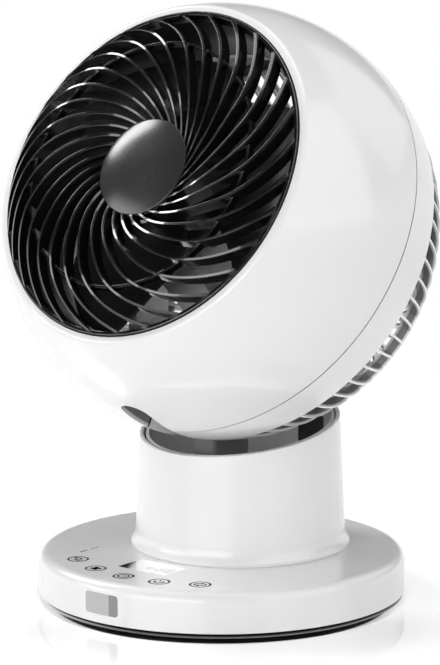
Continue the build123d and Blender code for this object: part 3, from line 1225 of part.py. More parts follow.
def motor_cup(face_d, split_d):
    """Deep-drawn half of the motor case with a bearing boss and a joining flange."""
    out = 1 if face_d > split_d else -1
    low, high = min(face_d, split_d), max(face_d, split_d)
    cup = rod(MOTOR_R, low, high)
    inside = (face_d - out * MOTOR_CASE_T, split_d - out)
    cup -= rod(MOTOR_R - MOTOR_CASE_T, min(inside), max(inside))
    flange = (split_d, split_d + out * MOTOR_CASE_T)
    cup += pipe(MOTOR_R - MOTOR_CASE_T, MOTOR_FLANGE_R, min(flange), max(flange))
    boss = (face_d + out * MOTOR_BOSS_H, face_d - out * (BEARING_L - MOTOR_BOSS_H))
    cup += rod(MOTOR_BOSS_R, min(boss), max(boss))
    cup -= rod(BEARING_R, min(boss) - 1, max(boss) + 1)
    for x, y in case_screw_spots():
        cup -= rod(SMALL_SCREW_R, split_d - 3, split_d + 3, x, y)
    return cup


def motor_front_case():
    cup = motor_cup(MOUNT_D, MOTOR_SPLIT_D)
    cup -= [rod(SCREW_R, MOUNT_D - 3, MOUNT_D + 1, x, y) for x, y in motor_screw_spots()]
    return HEAD * cup


def motor_rear_case():
    return HEAD * motor_cup(MOTOR_REAR_D, MOTOR_SPLIT_D)


def bearing(face_d, out):
    ends = (face_d + out * MOTOR_BOSS_H, face_d - out * (BEARING_L - MOTOR_BOSS_H))
    return pipe(SHAFT_R + RUN_FIT, BEARING_R, min(ends), max(ends))


def motor_bearings():
    return HEAD * Compound([bearing(MOUNT_D, 1).solid(), bearing(MOTOR_REAR_D, -1).solid()])


def stator_core():
    core = pipe(*CORE_R, CORE_D, CORE_D + CORE_L)
    core += pipe(CORE_R[1] - 1, MOTOR_R - MOTOR_CASE_T, MOTOR_SPLIT_D - 3, MOTOR_SPLIT_D + 3)
    return HEAD * core


def stator_coils():
    front = pipe(*COIL_R, CORE_D + CORE_L, CORE_D + CORE_L + COIL_L)
    rear = pipe(*COIL_R, CORE_D - COIL_L, CORE_D)
    return HEAD * Compound([front.solid(), rear.solid()])


def rotor():
    body = rod(ROTOR_R, CORE_D, CORE_D + CORE_L)
    body += rod(ROTOR_R - ROTOR_RING, CORE_D - ROTOR_RING, CORE_D + CORE_L + ROTOR_RING)
    return HEAD * (body - rod(SHAFT_R, CORE_D - 5, CORE_D + CORE_L + 5))


def motor_shaft():
    return HEAD * rod(SHAFT_R, MOTOR_REAR_D - MOTOR_BOSS_H - 1.0, SHAFT_TIP_D)


def motor_screws():
    return HEAD * screws(motor_screw_spots(), MOUNT_FRONT_D, MOUNT_D - MOTOR_CASE_T - 1.0)


def case_screws():
    head_d = MOTOR_SPLIT_D + MOTOR_CASE_T
    return HEAD * screws(case_screw_spots(), head_d, MOTOR_SPLIT_D - MOTOR_CASE_T - 1.0, small=True)


# ---- Impeller -----------------------------------------------------------------------------------------
def blade_section(share):
    """Slice through a blade, square to the axis, a share of the way from its rear to its front edge."""
    width = BLADE_EDGE_W + (BLADE_MIDDLE_W - BLADE_EDGE_W) * sin(pi * share)
    sides = ([], [])
    for radius, rear, front in BLADE_EDGES:
        angle = rear + (front - rear) * share
        for side, points in zip((-1, 1), sides):
            points.append(polar(radius, angle + degrees(side * width / 2 / radius)))
    low, high = sides
    outline = [Spline(*low), Line(low[-1], high[-1]), Spline(*reversed(high)), Line(high[0], low[0])]
    return Pos(0, 0, IMPELLER_D[0] + (IMPELLER_D[1] - IMPELLER_D[0]) * share) * make_face(outline)


def blade():
    sections = [blade_section(i / (BLADE_SECTIONS - 1)) for i in range(BLADE_SECTIONS)]
    return loft(sections) & pipe(IMPELLER_HUB_R - IMPELLER_HUB_WALL / 2, IMPELLER_R, *IMPELLER_D)


def impeller():
    """Three wide blades on a cup-shaped hub."""
    d0, d1 = IMPELLER_D
    front = d1 - IMPELLER_HUB_WALL
    hub = rod(IMPELLER_HUB_R, d0, front)
    hub = fillet(hub.edges().group_by(Axis.Z)[-1], 3.0)
    boss_r = SHAFT_R + IMPELLER_HUB_WALL
    hub -= pipe(boss_r, IMPELLER_HUB_R - IMPELLER_HUB_WALL, d0 - 1, front - IMPELLER_HUB_WALL)
    one = blade()
    wheel = hub + [Rot(0, 0, 360 / BLADE_COUNT * i) * one for i in range(BLADE_COUNT)]
    return HEAD * (wheel - rod(SHAFT_R, d0 - 1, d1 + 1))


def impeller_nut():
    """Fluted nut that holds the impeller on the shaft."""
    d0 = IMPELLER_D[1] - IMPELLER_HUB_WALL
    nut = rod(NUT_R, d0, d0 + NUT_H)
    for i in range(NUT_FLUTES):
        x, y = polar(NUT_R + NUT_FLUTE_R / 2, 360 / NUT_FLUTES * i)
        nut -= rod(NUT_FLUTE_R, d0 - 1, d0 + NUT_H + 1, x, y)
    return HEAD * (nut - rod(SHAFT_R, d0 - 1, SHAFT_TIP_D))


# ---- All pieces -----------------------------------------------------------------------------------------
PIECES = {
    "base_cover": base_cover,
    "base_pan": base_pan,
    "foot_pad": foot_pad,
    "base_screws": base_screws,
    "ballast_plate": ballast_plate,
    "control_board": control_board,
    "board_screws": board_screws,
    "tact_switches": tact_switches,
    "display_window": display_window,
    "display_module": display_module,
    "ir_window": ir_window,
    "ir_receiver": ir_receiver,
    "cord_bushing": cord_bushing,
    "slide_ring": slide_ring,
    "swing_sun_gear": swing_sun_gear,
    "sun_gear_screws": sun_gear_screws,
    "swing_turntable": swing_turntable,
    "turntable_screws": turntable_screws,
    "swing_pinion": swing_pinion,
    "swing_motor": swing_motor,
    "swing_motor_screws": swing_motor_screws,
    "neck_shell": neck_shell,
    "neck_liner": neck_liner,
    "wire_grommet": wire_grommet,
    "tilt_yoke": tilt_yoke,
    "tilt_gear": tilt_gear,
    "tilt_gear_screws": tilt_gear_screws,
    "tilt_spacers": tilt_spacers,
    "tilt_pins": tilt_pins,
    "pin_clips": pin_clips,
    "tilt_bracket_left": lambda: bracket(-1),
    "tilt_bracket_right": lambda: bracket(1),
    "tilt_motor": tilt_motor,
    "tilt_motor_screws": tilt_motor_screws,
    "tilt_pinion": tilt_pinion,
    "front_shell": front_shell,
    "rear_shell": rear_shell,
    "rear_guard": rear_guard,
    "shell_screws": shell_screws,
    "duct_ring": duct_ring,
    "motor_mount": motor_mount,
    "frame_screws": frame_screws,
    "front_grille": front_grille,
    "grille_badge": grille_badge,
    "motor_front_case": motor_front_case,
    "motor_rear_case": motor_rear_case,
    "motor_screws": motor_screws,
    "case_screws": case_screws,
    "motor_bearings": motor_bearings,
    "stator_core": stator_core,
    "stator_coils": stator_coils,
    "rotor": rotor,
    "motor_shaft": motor_shaft,
    "impeller": impeller,
    "impeller_nut": impeller_nut,
}


def main():
    os.makedirs("parts", exist_ok=True)
    for name in KEY_NAMES:
        export_step(key(name), f"parts/{name}.step")
    for name, make in PIECES.items():
        export_step(make(), f"parts/{name}.step")


main()
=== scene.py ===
"""Looks of a ball-head air circulator fan: white gloss shells, black grille and impeller, flush keys."""
import json
import math

import bmesh
import bpy
from mathutils import Matrix, Vector


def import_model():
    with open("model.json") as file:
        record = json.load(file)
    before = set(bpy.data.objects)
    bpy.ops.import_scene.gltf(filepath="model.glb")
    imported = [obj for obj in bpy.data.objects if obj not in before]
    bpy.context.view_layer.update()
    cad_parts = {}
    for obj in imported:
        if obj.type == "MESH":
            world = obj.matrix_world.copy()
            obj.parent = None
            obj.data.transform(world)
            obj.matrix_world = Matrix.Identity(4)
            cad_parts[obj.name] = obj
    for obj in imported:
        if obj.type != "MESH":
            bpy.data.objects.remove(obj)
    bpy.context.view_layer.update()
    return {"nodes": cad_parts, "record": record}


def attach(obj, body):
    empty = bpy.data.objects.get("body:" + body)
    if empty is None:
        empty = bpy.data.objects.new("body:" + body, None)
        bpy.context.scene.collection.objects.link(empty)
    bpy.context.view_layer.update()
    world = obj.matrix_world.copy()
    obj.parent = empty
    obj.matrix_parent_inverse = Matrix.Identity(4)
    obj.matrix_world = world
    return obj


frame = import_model()

MM = 0.001

# ---- Places on the part -----------------------------------------------------------------------
BASE_TOP = 21.8 * MM                       # height of the base's flat top
NECK_AT = 14.5 * MM                        # the neck's axis stands this far behind the base's centre
BALL = (0.0, 0.0, 182.5 * MM)              # centre of the ball head
TILT = math.radians(30.0)                  # how far the head looks up at rest
HEAD_FRONT = (0.0, -math.cos(TILT), math.sin(TILT))
PAN_R = 88.6 * MM                          # radius of the pan under the base

# ---- Painted shade and painted reflections within one piece -----------------------------------
# Radii are from the ball's centre; places along the head's axis count forward from it.
WHITE = (0.85, 0.85, 0.85)
# Painted shade: grey and dark tones that stand for shade on the shells' insides, the guard's rib flanks and
# the yoke's outer end.
PAINTED_SHADE_GREY = (0.2, 0.2, 0.203)
PAINTED_SHADE_DARK = (0.03, 0.03, 0.031)
PAINTED_FLANK_SHADE = (0.13, 0.13, 0.132)
SEAM_SHADE_AT = -7.6 * MM                     # painted shade on the front shell behind this place, darkening its seam
RADIUS_BLUR = 1.0 * MM
FORWARD_BLUR = 0.5 * MM
SEAM_BLUR = 0.15 * MM
DARK_REFLECTION_EDGE = (4.6 * MM, 4.9 * MM)           # across the receiver window: where its painted darker reflection sets in
DARK_REFLECTION_TONE = (0.13, 0.13, 0.13)
# Painted reflection: the display window glows in place of its bright reflection.
REFLECTION_SLANT = 0.55                          # the display's painted reflection ends in a dark corner with a slanted edge
REFLECTION_EDGE = (-43.0 * MM, -38.0 * MM)
REFLECTION_GLOW = 0.8

# ---- Grain of the surfaces --------------------------------------------------------------------
NOISE_SPAN = (0.3, 0.7)                    # noise seldom leaves this range
DRIFT_SCALE = 18.0                         # slow change of a plastic's tone
GLOSS_SCALE = 45.0
GLOSS_DETAIL = 4.0
GRAIN_DETAIL = 2.0
GRAIN_STRENGTH = 0.25
STAIN_SCALE = 60.0                         # faint stains on metal
STAIN_DETAIL = 5.0
STAIN_TONES = (0.82, 1.1)
LINE_SCALE = 300.0                         # fine lines on metal
LINE_DETAIL = 2.0
LINE_GLOSS = (0.7, 1.4)
LINE_STRENGTH = 0.2
LINE_DEPTH = 0.02 * MM
INK_SPECK_SCALE = 2500.0
INK_TONES = (0.004, 0.012)
INK_SPAN = (0.35, 0.7)
COAT_ROUGHNESS = 0.06
BEVEL_SAMPLES = 8
SAME_PLACE = 0.001 * MM                    # points closer than this are one
SHARP_ANGLE = math.radians(20.0)

# ---- Print on the control panel ---------------------------------------------------------------
KEY_CIRCLE = 73.0 * MM                     # radius of the keys' arc
KEY_PITCH = math.radians(15.8)             # angle from key to key
MIDDLE_KEY = 2
KEY_R = 5.3 * MM
RING_INSET = 0.55 * MM                     # the printed ring lies inside the key's edge
RING_STEPS = 48
ICON_R = 3.9 * MM                          # room for the icon inside the ring
ICON_LINE = 0.75 * MM
BLADES = 4                                 # of the fan icon; its sizes are in units of ICON_R
BLADE_AT = 0.42
BLADE_R = 0.2
SPOKE_END = 1.4                            # in units of BLADE_AT
PRINT_T = 0.04 * MM                        # thickness of the print
DIGITS = 3
DIGIT_AT = (0.5 * MM, -51.8 * MM)          # middle of the first digit
DIGIT_PITCH = 5.2 * MM
DIGIT_HALF = (1.5 * MM, 3.2 * MM)
DIGIT_LINE = 0.5 * MM
MARK_X = -46.6 * MM                        # row of small marks behind the first key
MARKS = (                                  # start, end and width of each, in mm
    (-51.2, -46.2, 0.85),
    (-43.6, -42.2, 0.65),
    (-41.6, -40.2, 0.65),
    (-39.6, -38.2, 0.65),
)

# ---- Seal between the neck's foot and the base ------------------------------------------------
SEAL_R = (51.6 * MM, 52.9 * MM)
SEAL_Z = (BASE_TOP + 0.05 * MM, BASE_TOP + 0.75 * MM)    # it hangs from the neck, just clear of the base
SEAL_STEPS = 192

# ---- Table ------------------------------------------------------------------------------------
FLOOR_HALF = 14.0
FLOOR_CELLS = 8
FLOOR_WHITE = (0.86, 0.86, 0.86)
FLOOR_ROUGHNESS = 0.12
FLOOR_LIFT = (0.47, 0.24)                  # light of its own near the object, and less in front of its foot as painted shade
FRONT_SPAN = (0.25, 0.8)                   # cosines to the front, over which the painted shade sets in
LIFT_REACH = (100.0 * MM, 160.0 * MM)      # distances over which the painted shade ends
FLOOR_FADE = (0.18, 0.6)                   # distances over which the table turns plain white
PAN_BLUR = 0.4 * MM
PAINTED_LINE_FADE = (-70.0 * MM, 20.0 * MM)        # painted light line across the front, under the pan: from bright to dark
PAINTED_LINE_LIGHT = (0.6, 0.02)
MIRROR_FRONT = (0.637, -0.771, 0.0)        # side on which the table is most polished
MIRROR_SPAN = (0.4, 1.0)                   # cosines to that side, over which the full polish grows
MIRROR_DEPTH = (-4.0 * MM, 8.0 * MM)       # how much farther out it then ends
MIRROR_REACH = (89.5 * MM, 92.5 * MM)      # where it ends otherwise
FAINT_MIRROR = (0.12, 0.32)                # polish beyond it, at the sides and in front
FAINT_REACH = (125.0 * MM, 200.0 * MM)     # where that ends

# ---- Room, lamps and camera -------------------------------------------------------------------
HORIZON = (0.06, 0.2)                      # sines of elevation between which the backdrop's white ends
ROOM = 0.03                                # the dark upper room, as gloss sees it
AMBIENT = 0.04                             # light that the room throws on the object
LAMP_DISTANCE = 1.6
LAMP_TARGET = Vector((0.0, 0.0, 0.15))
LAMPS = {                                  # direction from the target, width, height and power
    "left_high": ((-0.78, -0.06, 0.62), 0.55, 0.65, 12.0),
    "left_low": ((-0.62, -0.76, 0.2), 0.9, 0.4, 4.4),
    "front_low": ((0.1, -1.0, 0.12), 1.4, 0.9, 14.0),
    "right_high": ((1.0, 0.1, 0.6), 1.8, 1.6, 15.0),
    "top": ((0.0, 0.1, 1.0), 1.2, 1.2, 10.0),
    "back": ((0.3, 1.0, 0.6), 1.2, 1.0, 3.6),
}
# Viewing angle and lens of the photograph, fitted to the part's circles.
CAM_AZIMUTH = math.radians(39.55)
CAM_ELEVATION = math.radians(10.824)
CAM_ROLL = math.radians(-0.1163)
CAM_DISTANCE = 1.8
CAM_LENS = 201.87
CAM_AIM = (-0.541 * MM, 128.303 * MM)      # across and up
CAM_REACH = 60.0


# ---- Node trees -------------------------------------------------------------------------------
class Tree:
    """Node tree of a material or world, with short ways to add nodes and to join them."""

    def __init__(self, owner):
        owner.use_nodes = True
        self.nodes = owner.node_tree.nodes
        self.links = owner.node_tree.links

    def add(self, kind, **settings):
        """New node with the given properties."""
        node = self.nodes.new(kind)
        for name, value in settings.items():
            setattr(node, name, value)
        return node

    def feed(self, socket, value):
        """Link another node's socket, or set a plain number, vector or colour."""
        if isinstance(value, bpy.types.NodeSocket):
            self.links.new(value, socket)
        elif socket.type == "RGBA":
            socket.default_value = (*value, 1.0)
        else:
            socket.default_value = value

    def place(self, scale=(1.0, 1.0, 1.0)):
        """Object coordinates, in the part's frame, scaled."""
        mapping = self.add("ShaderNodeMapping")
        self.feed(mapping.inputs["Scale"], scale)
        self.feed(mapping.inputs["Vector"], self.add("ShaderNodeTexCoord").outputs["Object"])
        return mapping.outputs["Vector"]

    def split(self, vector):
        """X, Y and Z of a vector."""
        node = self.add("ShaderNodeSeparateXYZ")
        self.feed(node.inputs[0], vector)
        return node.outputs

    def noise(self, scale, detail=3.0, stretch=(1.0, 1.0, 1.0)):
        node = self.add("ShaderNodeTexNoise")
        self.feed(node.inputs["Scale"], scale)
        self.feed(node.inputs["Detail"], detail)
        self.feed(node.inputs["Vector"], self.place(stretch))
        return node.outputs["Fac"]

    def ramp(self, value, span, colors):
        """Colour that goes from the first to the second while value crosses the span."""
        node = self.add("ShaderNodeValToRGB")
        for element, position, color in zip(node.color_ramp.elements, span, colors):
            element.position = position
            element.color = (*color, 1.0)
        self.feed(node.inputs["Fac"], value)
        return node.outputs["Color"]

    def span(self, value, start, end, low, high, curve="SMOOTHSTEP"):
        """Number that goes from low to high while value goes from start to end."""
        node = self.add("ShaderNodeMapRange", interpolation_type=curve)
        for name, number in (("From Min", start), ("From Max", end), ("To Min", low), ("To Max", high)):
            self.feed(node.inputs[name], number)
        self.feed(node.inputs["Value"], value)
        return node.outputs["Result"]

    def within(self, value, low, high, blur):
        """1 while value lies between low and high; either end may be None."""
        parts = []
        if low is not None:
            parts.append(self.span(value, low - blur, low, 0.0, 1.0))
        if high is not None:
            parts.append(self.span(value, high, high + blur, 1.0, 0.0))
        return parts[0] if len(parts) == 1 else self.math("MULTIPLY", *parts)

    def math(self, operation, *values):
        node = self.add("ShaderNodeMath", operation=operation)
        for socket, value in zip(node.inputs, values):
            self.feed(socket, value)
        return node.outputs[0]

    def vector(self, operation, *values):
        node = self.add("ShaderNodeVectorMath", operation=operation)
        for socket, value in zip(node.inputs, values):
            self.feed(socket, value)
        return node.outputs["Value" if operation in ("LENGTH", "DOT_PRODUCT") else "Vector"]

    def mix(self, share, first, second):
        """Number between two."""
        node = self.add("ShaderNodeMix")
        for index, value in ((0, share), (2, first), (3, second)):
            self.feed(node.inputs[index], value)
        return node.outputs[0]

    def mix_color(self, share, first, second):
        """Colour between two."""
        node = self.add("ShaderNodeMix", data_type="RGBA")
        for index, value in ((0, share), (6, first), (7, second)):
            self.feed(node.inputs[index], value)
        return node.outputs[2]

    def mix_shader(self, share, first, second):
        """Shader between two."""
        node = self.add("ShaderNodeMixShader")
        for socket, value in zip(node.inputs, (share, first, second)):
            self.feed(socket, value)
        return node.outputs[0]

    def any_ray(self, *kinds):
        """1 for rays of any of these kinds."""
        path = self.add("ShaderNodeLightPath")
        rays = path.outputs[kinds[0]]
        for kind in kinds[1:]:
            rays = self.math("MAXIMUM", rays, path.outputs[kind])
        return rays

    def seen_rays(self):
        """1 for rays that show the backdrop: from the camera, or by way of a gloss or through glass."""
        return self.any_ray("Is Camera Ray", "Is Glossy Ray", "Is Transmission Ray")


class Surface(Tree):
    """Principled material; plain numbers go straight on the shader's sockets."""

    def __init__(self, name, color, roughness, metallic=0.0, coat=0.0, specular=0.5):
        self.material = bpy.data.materials.new(name)
        super().__init__(self.material)
        self.shader = self.nodes["Principled BSDF"]
        self.set("Base Color", color)
        self.set("Roughness", roughness)
        self.set("Metallic", metallic)
        self.set("Coat Weight", coat)
        self.set("Coat Roughness", COAT_ROUGHNESS)
        self.set("Specular IOR Level", specular)

    def set(self, name, value):
        self.feed(self.shader.inputs[name], value)

    def vary_color(self, value, low, high, span=NOISE_SPAN):
        self.set("Base Color", self.ramp(value, span, (low, high)))

    def vary_roughness(self, value, low, high):
        self.set("Roughness", self.ramp(value, NOISE_SPAN, (grey(low), grey(high))))

    def bump(self, height, strength, depth, rounded=None):
        """Relief; edges may be shaded as if rounded off, so that each catches a thin line of light."""
        node = self.add("ShaderNodeBump")
        self.feed(node.inputs["Strength"], strength)
        self.feed(node.inputs["Distance"], depth)
        self.feed(node.inputs["Height"], height)
        self.set("Normal", node.outputs["Normal"])
        if rounded:
            bevel = self.add("ShaderNodeBevel", samples=BEVEL_SAMPLES)
            self.feed(bevel.inputs["Radius"], rounded)
            self.feed(node.inputs["Normal"], bevel.outputs["Normal"])

    def tone(self):
        """What the shader's colour is linked to so far."""
        return self.shader.inputs["Base Color"].links[0].from_socket


def grey(value):
    return (value, value, value)


def shade(color, factor):
    return tuple(min(1.0, c * factor) for c in color)


# ---- Kinds of surface -------------------------------------------------------------------------
def plastic(name, color, roughness, grain=900.0, grain_depth=0.015, coat=0.0, spread=0.04,
            rough_spread=0.25, specular=0.5, rounded=None):
    """Moulded plastic: slight tone drift, uneven gloss and a fine skin."""
    surface = Surface(name, color, roughness, coat=coat, specular=specular)
    surface.vary_color(surface.noise(DRIFT_SCALE), shade(color, 1 - spread), shade(color, 1 + spread))
    surface.vary_roughness(surface.noise(GLOSS_SCALE, GLOSS_DETAIL), roughness * (1 - rough_spread),
                           roughness * (1 + rough_spread))
    surface.bump(surface.noise(grain, GRAIN_DETAIL), GRAIN_STRENGTH, grain_depth * MM, rounded)
    return surface


def metal(name, color, roughness, stretch=(1.0, 1.0, 30.0), metallic=1.0):
    """Drawn or turned metal with fine lines and faint stains."""
    surface = Surface(name, color, roughness, metallic=metallic)
    stains = surface.noise(STAIN_SCALE, STAIN_DETAIL)
    surface.vary_color(stains, *(shade(color, tone) for tone in STAIN_TONES))
    lines = surface.noise(LINE_SCALE, LINE_DETAIL, stretch)
    surface.vary_roughness(lines, *(roughness * gloss for gloss in LINE_GLOSS))
    surface.bump(lines, LINE_STRENGTH, LINE_DEPTH)
    return surface


def shell(name, inside, radii, forward=None, seam=None, roughness=0.24, coat=0.35):
    """White gloss, with painted shade in a band of ball radii and of places along the head's axis."""
    surface = plastic(name, WHITE, roughness, coat=coat, **SMOOTH_SKIN)
    from_ball = surface.vector("SUBTRACT", surface.place(), BALL)
    along = surface.vector("DOT_PRODUCT", from_ball, HEAD_FRONT)
    # Band that gets the painted shade tone.
    mask = surface.within(surface.vector("LENGTH", from_ball), *radii, RADIUS_BLUR)
    if forward:
        mask = surface.math("MULTIPLY", mask, surface.within(along, *forward, FORWARD_BLUR))
    tone = surface.mix_color(mask, surface.tone(), inside)
    # Painted shade behind the seam, widening the groove's dark line.
    if seam:
        tone = surface.mix_color(surface.within(along, None, seam, SEAM_BLUR), tone, PAINTED_SHADE_DARK)
    surface.set("Base Color", tone)
    return surface


def window_tint(name):
    """Receiver window: its light grey and the darker band over its right quarter are painted reflection."""
    surface = plastic(name, (0.36, 0.36, 0.36), 0.12, grain_depth=0.001, coat=0.6, spread=0.03)
    # Painted reflection: darker over the right quarter.
    band = surface.span(surface.split(surface.place())["X"], *DARK_REFLECTION_EDGE, 0.0, 1.0)
    surface.set("Base Color", surface.mix_color(band, surface.tone(), DARK_REFLECTION_TONE))
    return surface


def lit_display(name):
    """Display window with its bright reflection painted in as a glow, and a dark corner where that painted
    reflection ends.
    """
    surface = plastic(name, (0.03, 0.03, 0.032), 0.06, grain_depth=0.001, coat=1.0)
    place = surface.split(surface.place())
    slant = surface.math("MULTIPLY_ADD", place["Y"], REFLECTION_SLANT, place["X"])
    # Painted reflection as a glow, cut off by the slanted dark corner.
    surface.set("Emission Color", (1.0, 1.0, 1.0))
    surface.set("Emission Strength", surface.span(slant, *REFLECTION_EDGE, 0.0, REFLECTION_GLOW))
    return surface


def ink(name):
    """Matt black print."""
    surface = Surface(name, (0.02, 0.02, 0.02), 0.9, specular=0.0)
    surface.vary_color(surface.noise(INK_SPECK_SCALE), *(grey(tone) for tone in INK_TONES), INK_SPAN)
    return surface


# ---- Materials --------------------------------------------------------------------------------
SMOOTH_SKIN = dict(grain=500.0, grain_depth=0.004, spread=0.008, rough_spread=0.12)
LOOKS = {
    plastic: {
        "white_shell": dict(color=WHITE, roughness=0.24, coat=0.35, **SMOOTH_SKIN),
        "key_white": dict(color=(0.81, 0.815, 0.82), roughness=0.14, coat=0.5, **SMOOTH_SKIN),
        "seal_white": dict(color=WHITE, roughness=0.6, grain=1500.0, grain_depth=0.03),
        "mount_white": dict(color=WHITE, roughness=0.3, grain_depth=0.02),
        "liner_grey": dict(color=(0.8, 0.805, 0.81), roughness=0.55, grain_depth=0.02),
        "bearing_plastic": dict(color=(0.66, 0.65, 0.6), roughness=0.42, grain_depth=0.02),
        "ghost_segments": dict(color=(0.5, 0.5, 0.51), roughness=0.3, grain_depth=0.001),
        "frame_grey": dict(color=(0.16, 0.162, 0.166), roughness=0.4, grain_depth=0.03),
        "board_green": dict(color=(0.03, 0.14, 0.06), roughness=0.35, spread=0.2, grain_depth=0.03),
        "pad_rubber": dict(color=(0.02, 0.02, 0.021), roughness=0.7, grain=1400.0, grain_depth=0.06,
                           spread=0.2),
        "black_module": dict(color=(0.02, 0.02, 0.022), roughness=0.45),
        "black_pan": dict(color=(0.005, 0.005, 0.006), roughness=0.4, grain_depth=0.01, specular=0.04),
        "duct_grey": dict(color=(0.016, 0.016, 0.017), roughness=0.38, grain_depth=0.02),
        "impeller_black": dict(color=(0.016, 0.016, 0.0165), roughness=0.32, grain_depth=0.006),
        "grille_dark": dict(color=(0.004, 0.004, 0.0042), roughness=0.2, grain_depth=0.002, coat=1.0,
                            rounded=0.5 * MM),
        "badge_plain": dict(color=(0.03, 0.03, 0.0305), roughness=0.22, grain_depth=0.002, specular=0.8,
                            rounded=0.7 * MM),
    },
    metal: {
        "ballast_steel": dict(color=(0.42, 0.42, 0.43), roughness=0.45, stretch=(1.0, 20.0, 1.0)),
        "screw_steel": dict(color=(0.6, 0.6, 0.61), roughness=0.28),
        "motor_metal": dict(color=(0.5, 0.5, 0.51), roughness=0.35, stretch=(1.0, 1.0, 12.0)),
        "case_zinc": dict(color=(0.86, 0.86, 0.87), roughness=0.42, stretch=(1.0, 1.0, 12.0), metallic=0.4),
        "core_steel": dict(color=(0.2, 0.2, 0.21), roughness=0.5, stretch=(1.0, 1.0, 60.0)),
        "coil_copper": dict(color=(0.55, 0.25, 0.12), roughness=0.35, stretch=(40.0, 1.0, 1.0)),
    },
    shell: {
        # Painted shade: the shells' insides, the guard's rib flanks and the yoke's outer end take a grey or
        # dark tone.
        "front_shell_white": dict(inside=PAINTED_SHADE_GREY, radii=(None, 102.8 * MM), forward=(None, 55.0 * MM),
                                  seam=SEAM_SHADE_AT),
        "rear_shell_white": dict(inside=PAINTED_SHADE_DARK, radii=(None, 104.0 * MM), forward=(-8.4 * MM, None)),
        "rear_guard_white": dict(inside=PAINTED_FLANK_SHADE, radii=(100.6 * MM, 103.4 * MM)),
        "yoke_white": dict(inside=PAINTED_SHADE_GREY, radii=(94.0 * MM, None), roughness=0.35, coat=0.0),
    },
    window_tint: {"window_tint": {}},
    lit_display: {"lit_display": {}},
    ink: {"panel_ink": {}},
}
MATERIALS = {}
for kind, looks in LOOKS.items():
    for name, look in looks.items():
        MATERIALS[name] = kind(name, **look).material
# Nodes that look otherwise than the rest of their slot.
OWN_MATERIAL = {
    "neck_liner": "liner_grey",
    "wire_grommet": "black_module",
    "motor_mount": "mount_white",
    "motor_front_case": "case_zinc",
    "tilt_yoke": "yoke_white",
    "front_shell": "front_shell_white",
    "rear_shell": "rear_shell_white",
    "rear_guard": "rear_guard_white",
    "ir_window": "window_tint",
    "display_window": "lit_display",
    "impeller": "impeller_black",
    "impeller_nut": "impeller_black",
}


def dress_cad_nodes():
    """Every node takes the material of its slot in the record, or its own."""
    slots = {part["node"]: part["material_slot"] for part in frame["record"]["subparts"]}
    for name, obj in frame["nodes"].items():
        obj.data.materials.clear()
        obj.data.materials.append(MATERIALS[OWN_MATERIAL.get(name, slots[name])])


def even_shading(name):
    """Seams closed and normals weighted by the size of the faces, so that slivers leave no specks."""
    modifiers = frame["nodes"][name].modifiers
    modifiers.new("closed_seams", "WELD").merge_threshold = SAME_PLACE
    modifiers.new("sharp_edges", "EDGE_SPLIT").split_angle = SHARP_ANGLE
    modifiers.new("even_shading", "WEIGHTED_NORMAL")


# ---- Pieces of the scene ----------------------------------------------------------------------
def mesh_piece(name, build, material, body):
    """Piece from a bmesh that build() fills; rides on a body."""
    mesh = bpy.data.meshes.new(name)
    bm = bmesh.new()
    build(bm)
    bmesh.ops.recalc_face_normals(bm, faces=bm.faces)
    bm.to_mesh(mesh)
    bm.free()
    obj = bpy.data.objects.new(name, mesh)
    bpy.context.scene.collection.objects.link(obj)
    mesh.materials.append(MATERIALS[material])
    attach(obj, body)


def join_rings(bm, rings, closed):
    """Walls between neighbouring rings of four corners, with caps at the ends unless it is closed."""
    count = len(rings)
    for i in range(count if closed else count - 1):
        a, b = rings[i], rings[(i + 1) % count]
        for k in range(4):
            bm.faces.new((a[k], a[(k + 1) % 4], b[(k + 1) % 4], b[k]))
    if not closed:
        bm.faces.new(rings[0])
        bm.faces.new(list(reversed(rings[-1])))


def stroke(bm, points, width, closed=False):
    """Printed line of even width through (x, y) points on the base's top."""
    count = len(points)
    rings = []
    for i, (x, y) in enumerate(points):
        if closed:
            before, after = points[i - 1], points[(i + 1) % count]
        else:
            before, after = points[max(0, i - 1)], points[min(count - 1, i + 1)]
        dx, dy = after[0] - before[0], after[1] - before[1]
        length = math.hypot(dx, dy)
        nx, ny = -dy / length * width / 2, dx / length * width / 2
        left, right = (x + nx, y + ny), (x - nx, y - ny)
        low = [bm.verts.new((*p, BASE_TOP)) for p in (left, right)]
        high = [bm.verts.new((*p, BASE_TOP + PRINT_T)) for p in (right, left)]
        rings.append(low + high)
    join_rings(bm, rings, closed)


def arc(cx, cy, radius, start, end, steps=24):
    """Points on an arc, degrees anticlockwise from +x."""
    points = []
    for i in range(steps + 1):
        angle = math.radians(start + (end - start) * i / steps)
        points.append((cx + radius * math.cos(angle), cy + radius * math.sin(angle)))
    return points


def fan_blades():
    """Round blades with a spoke through each."""
    shapes = []
    pitch = 360 / BLADES
    for index in range(BLADES):
        start = index * pitch
        angle = math.radians(start + pitch / 2)
        x, y = BLADE_AT * math.cos(angle), BLADE_AT * math.sin(angle)
        shapes.append(arc(x, y, BLADE_R, start, start + 360))
        shapes.append([(0.0, 0.0), (x * SPOKE_END, y * SPOKE_END)])
    return shapes


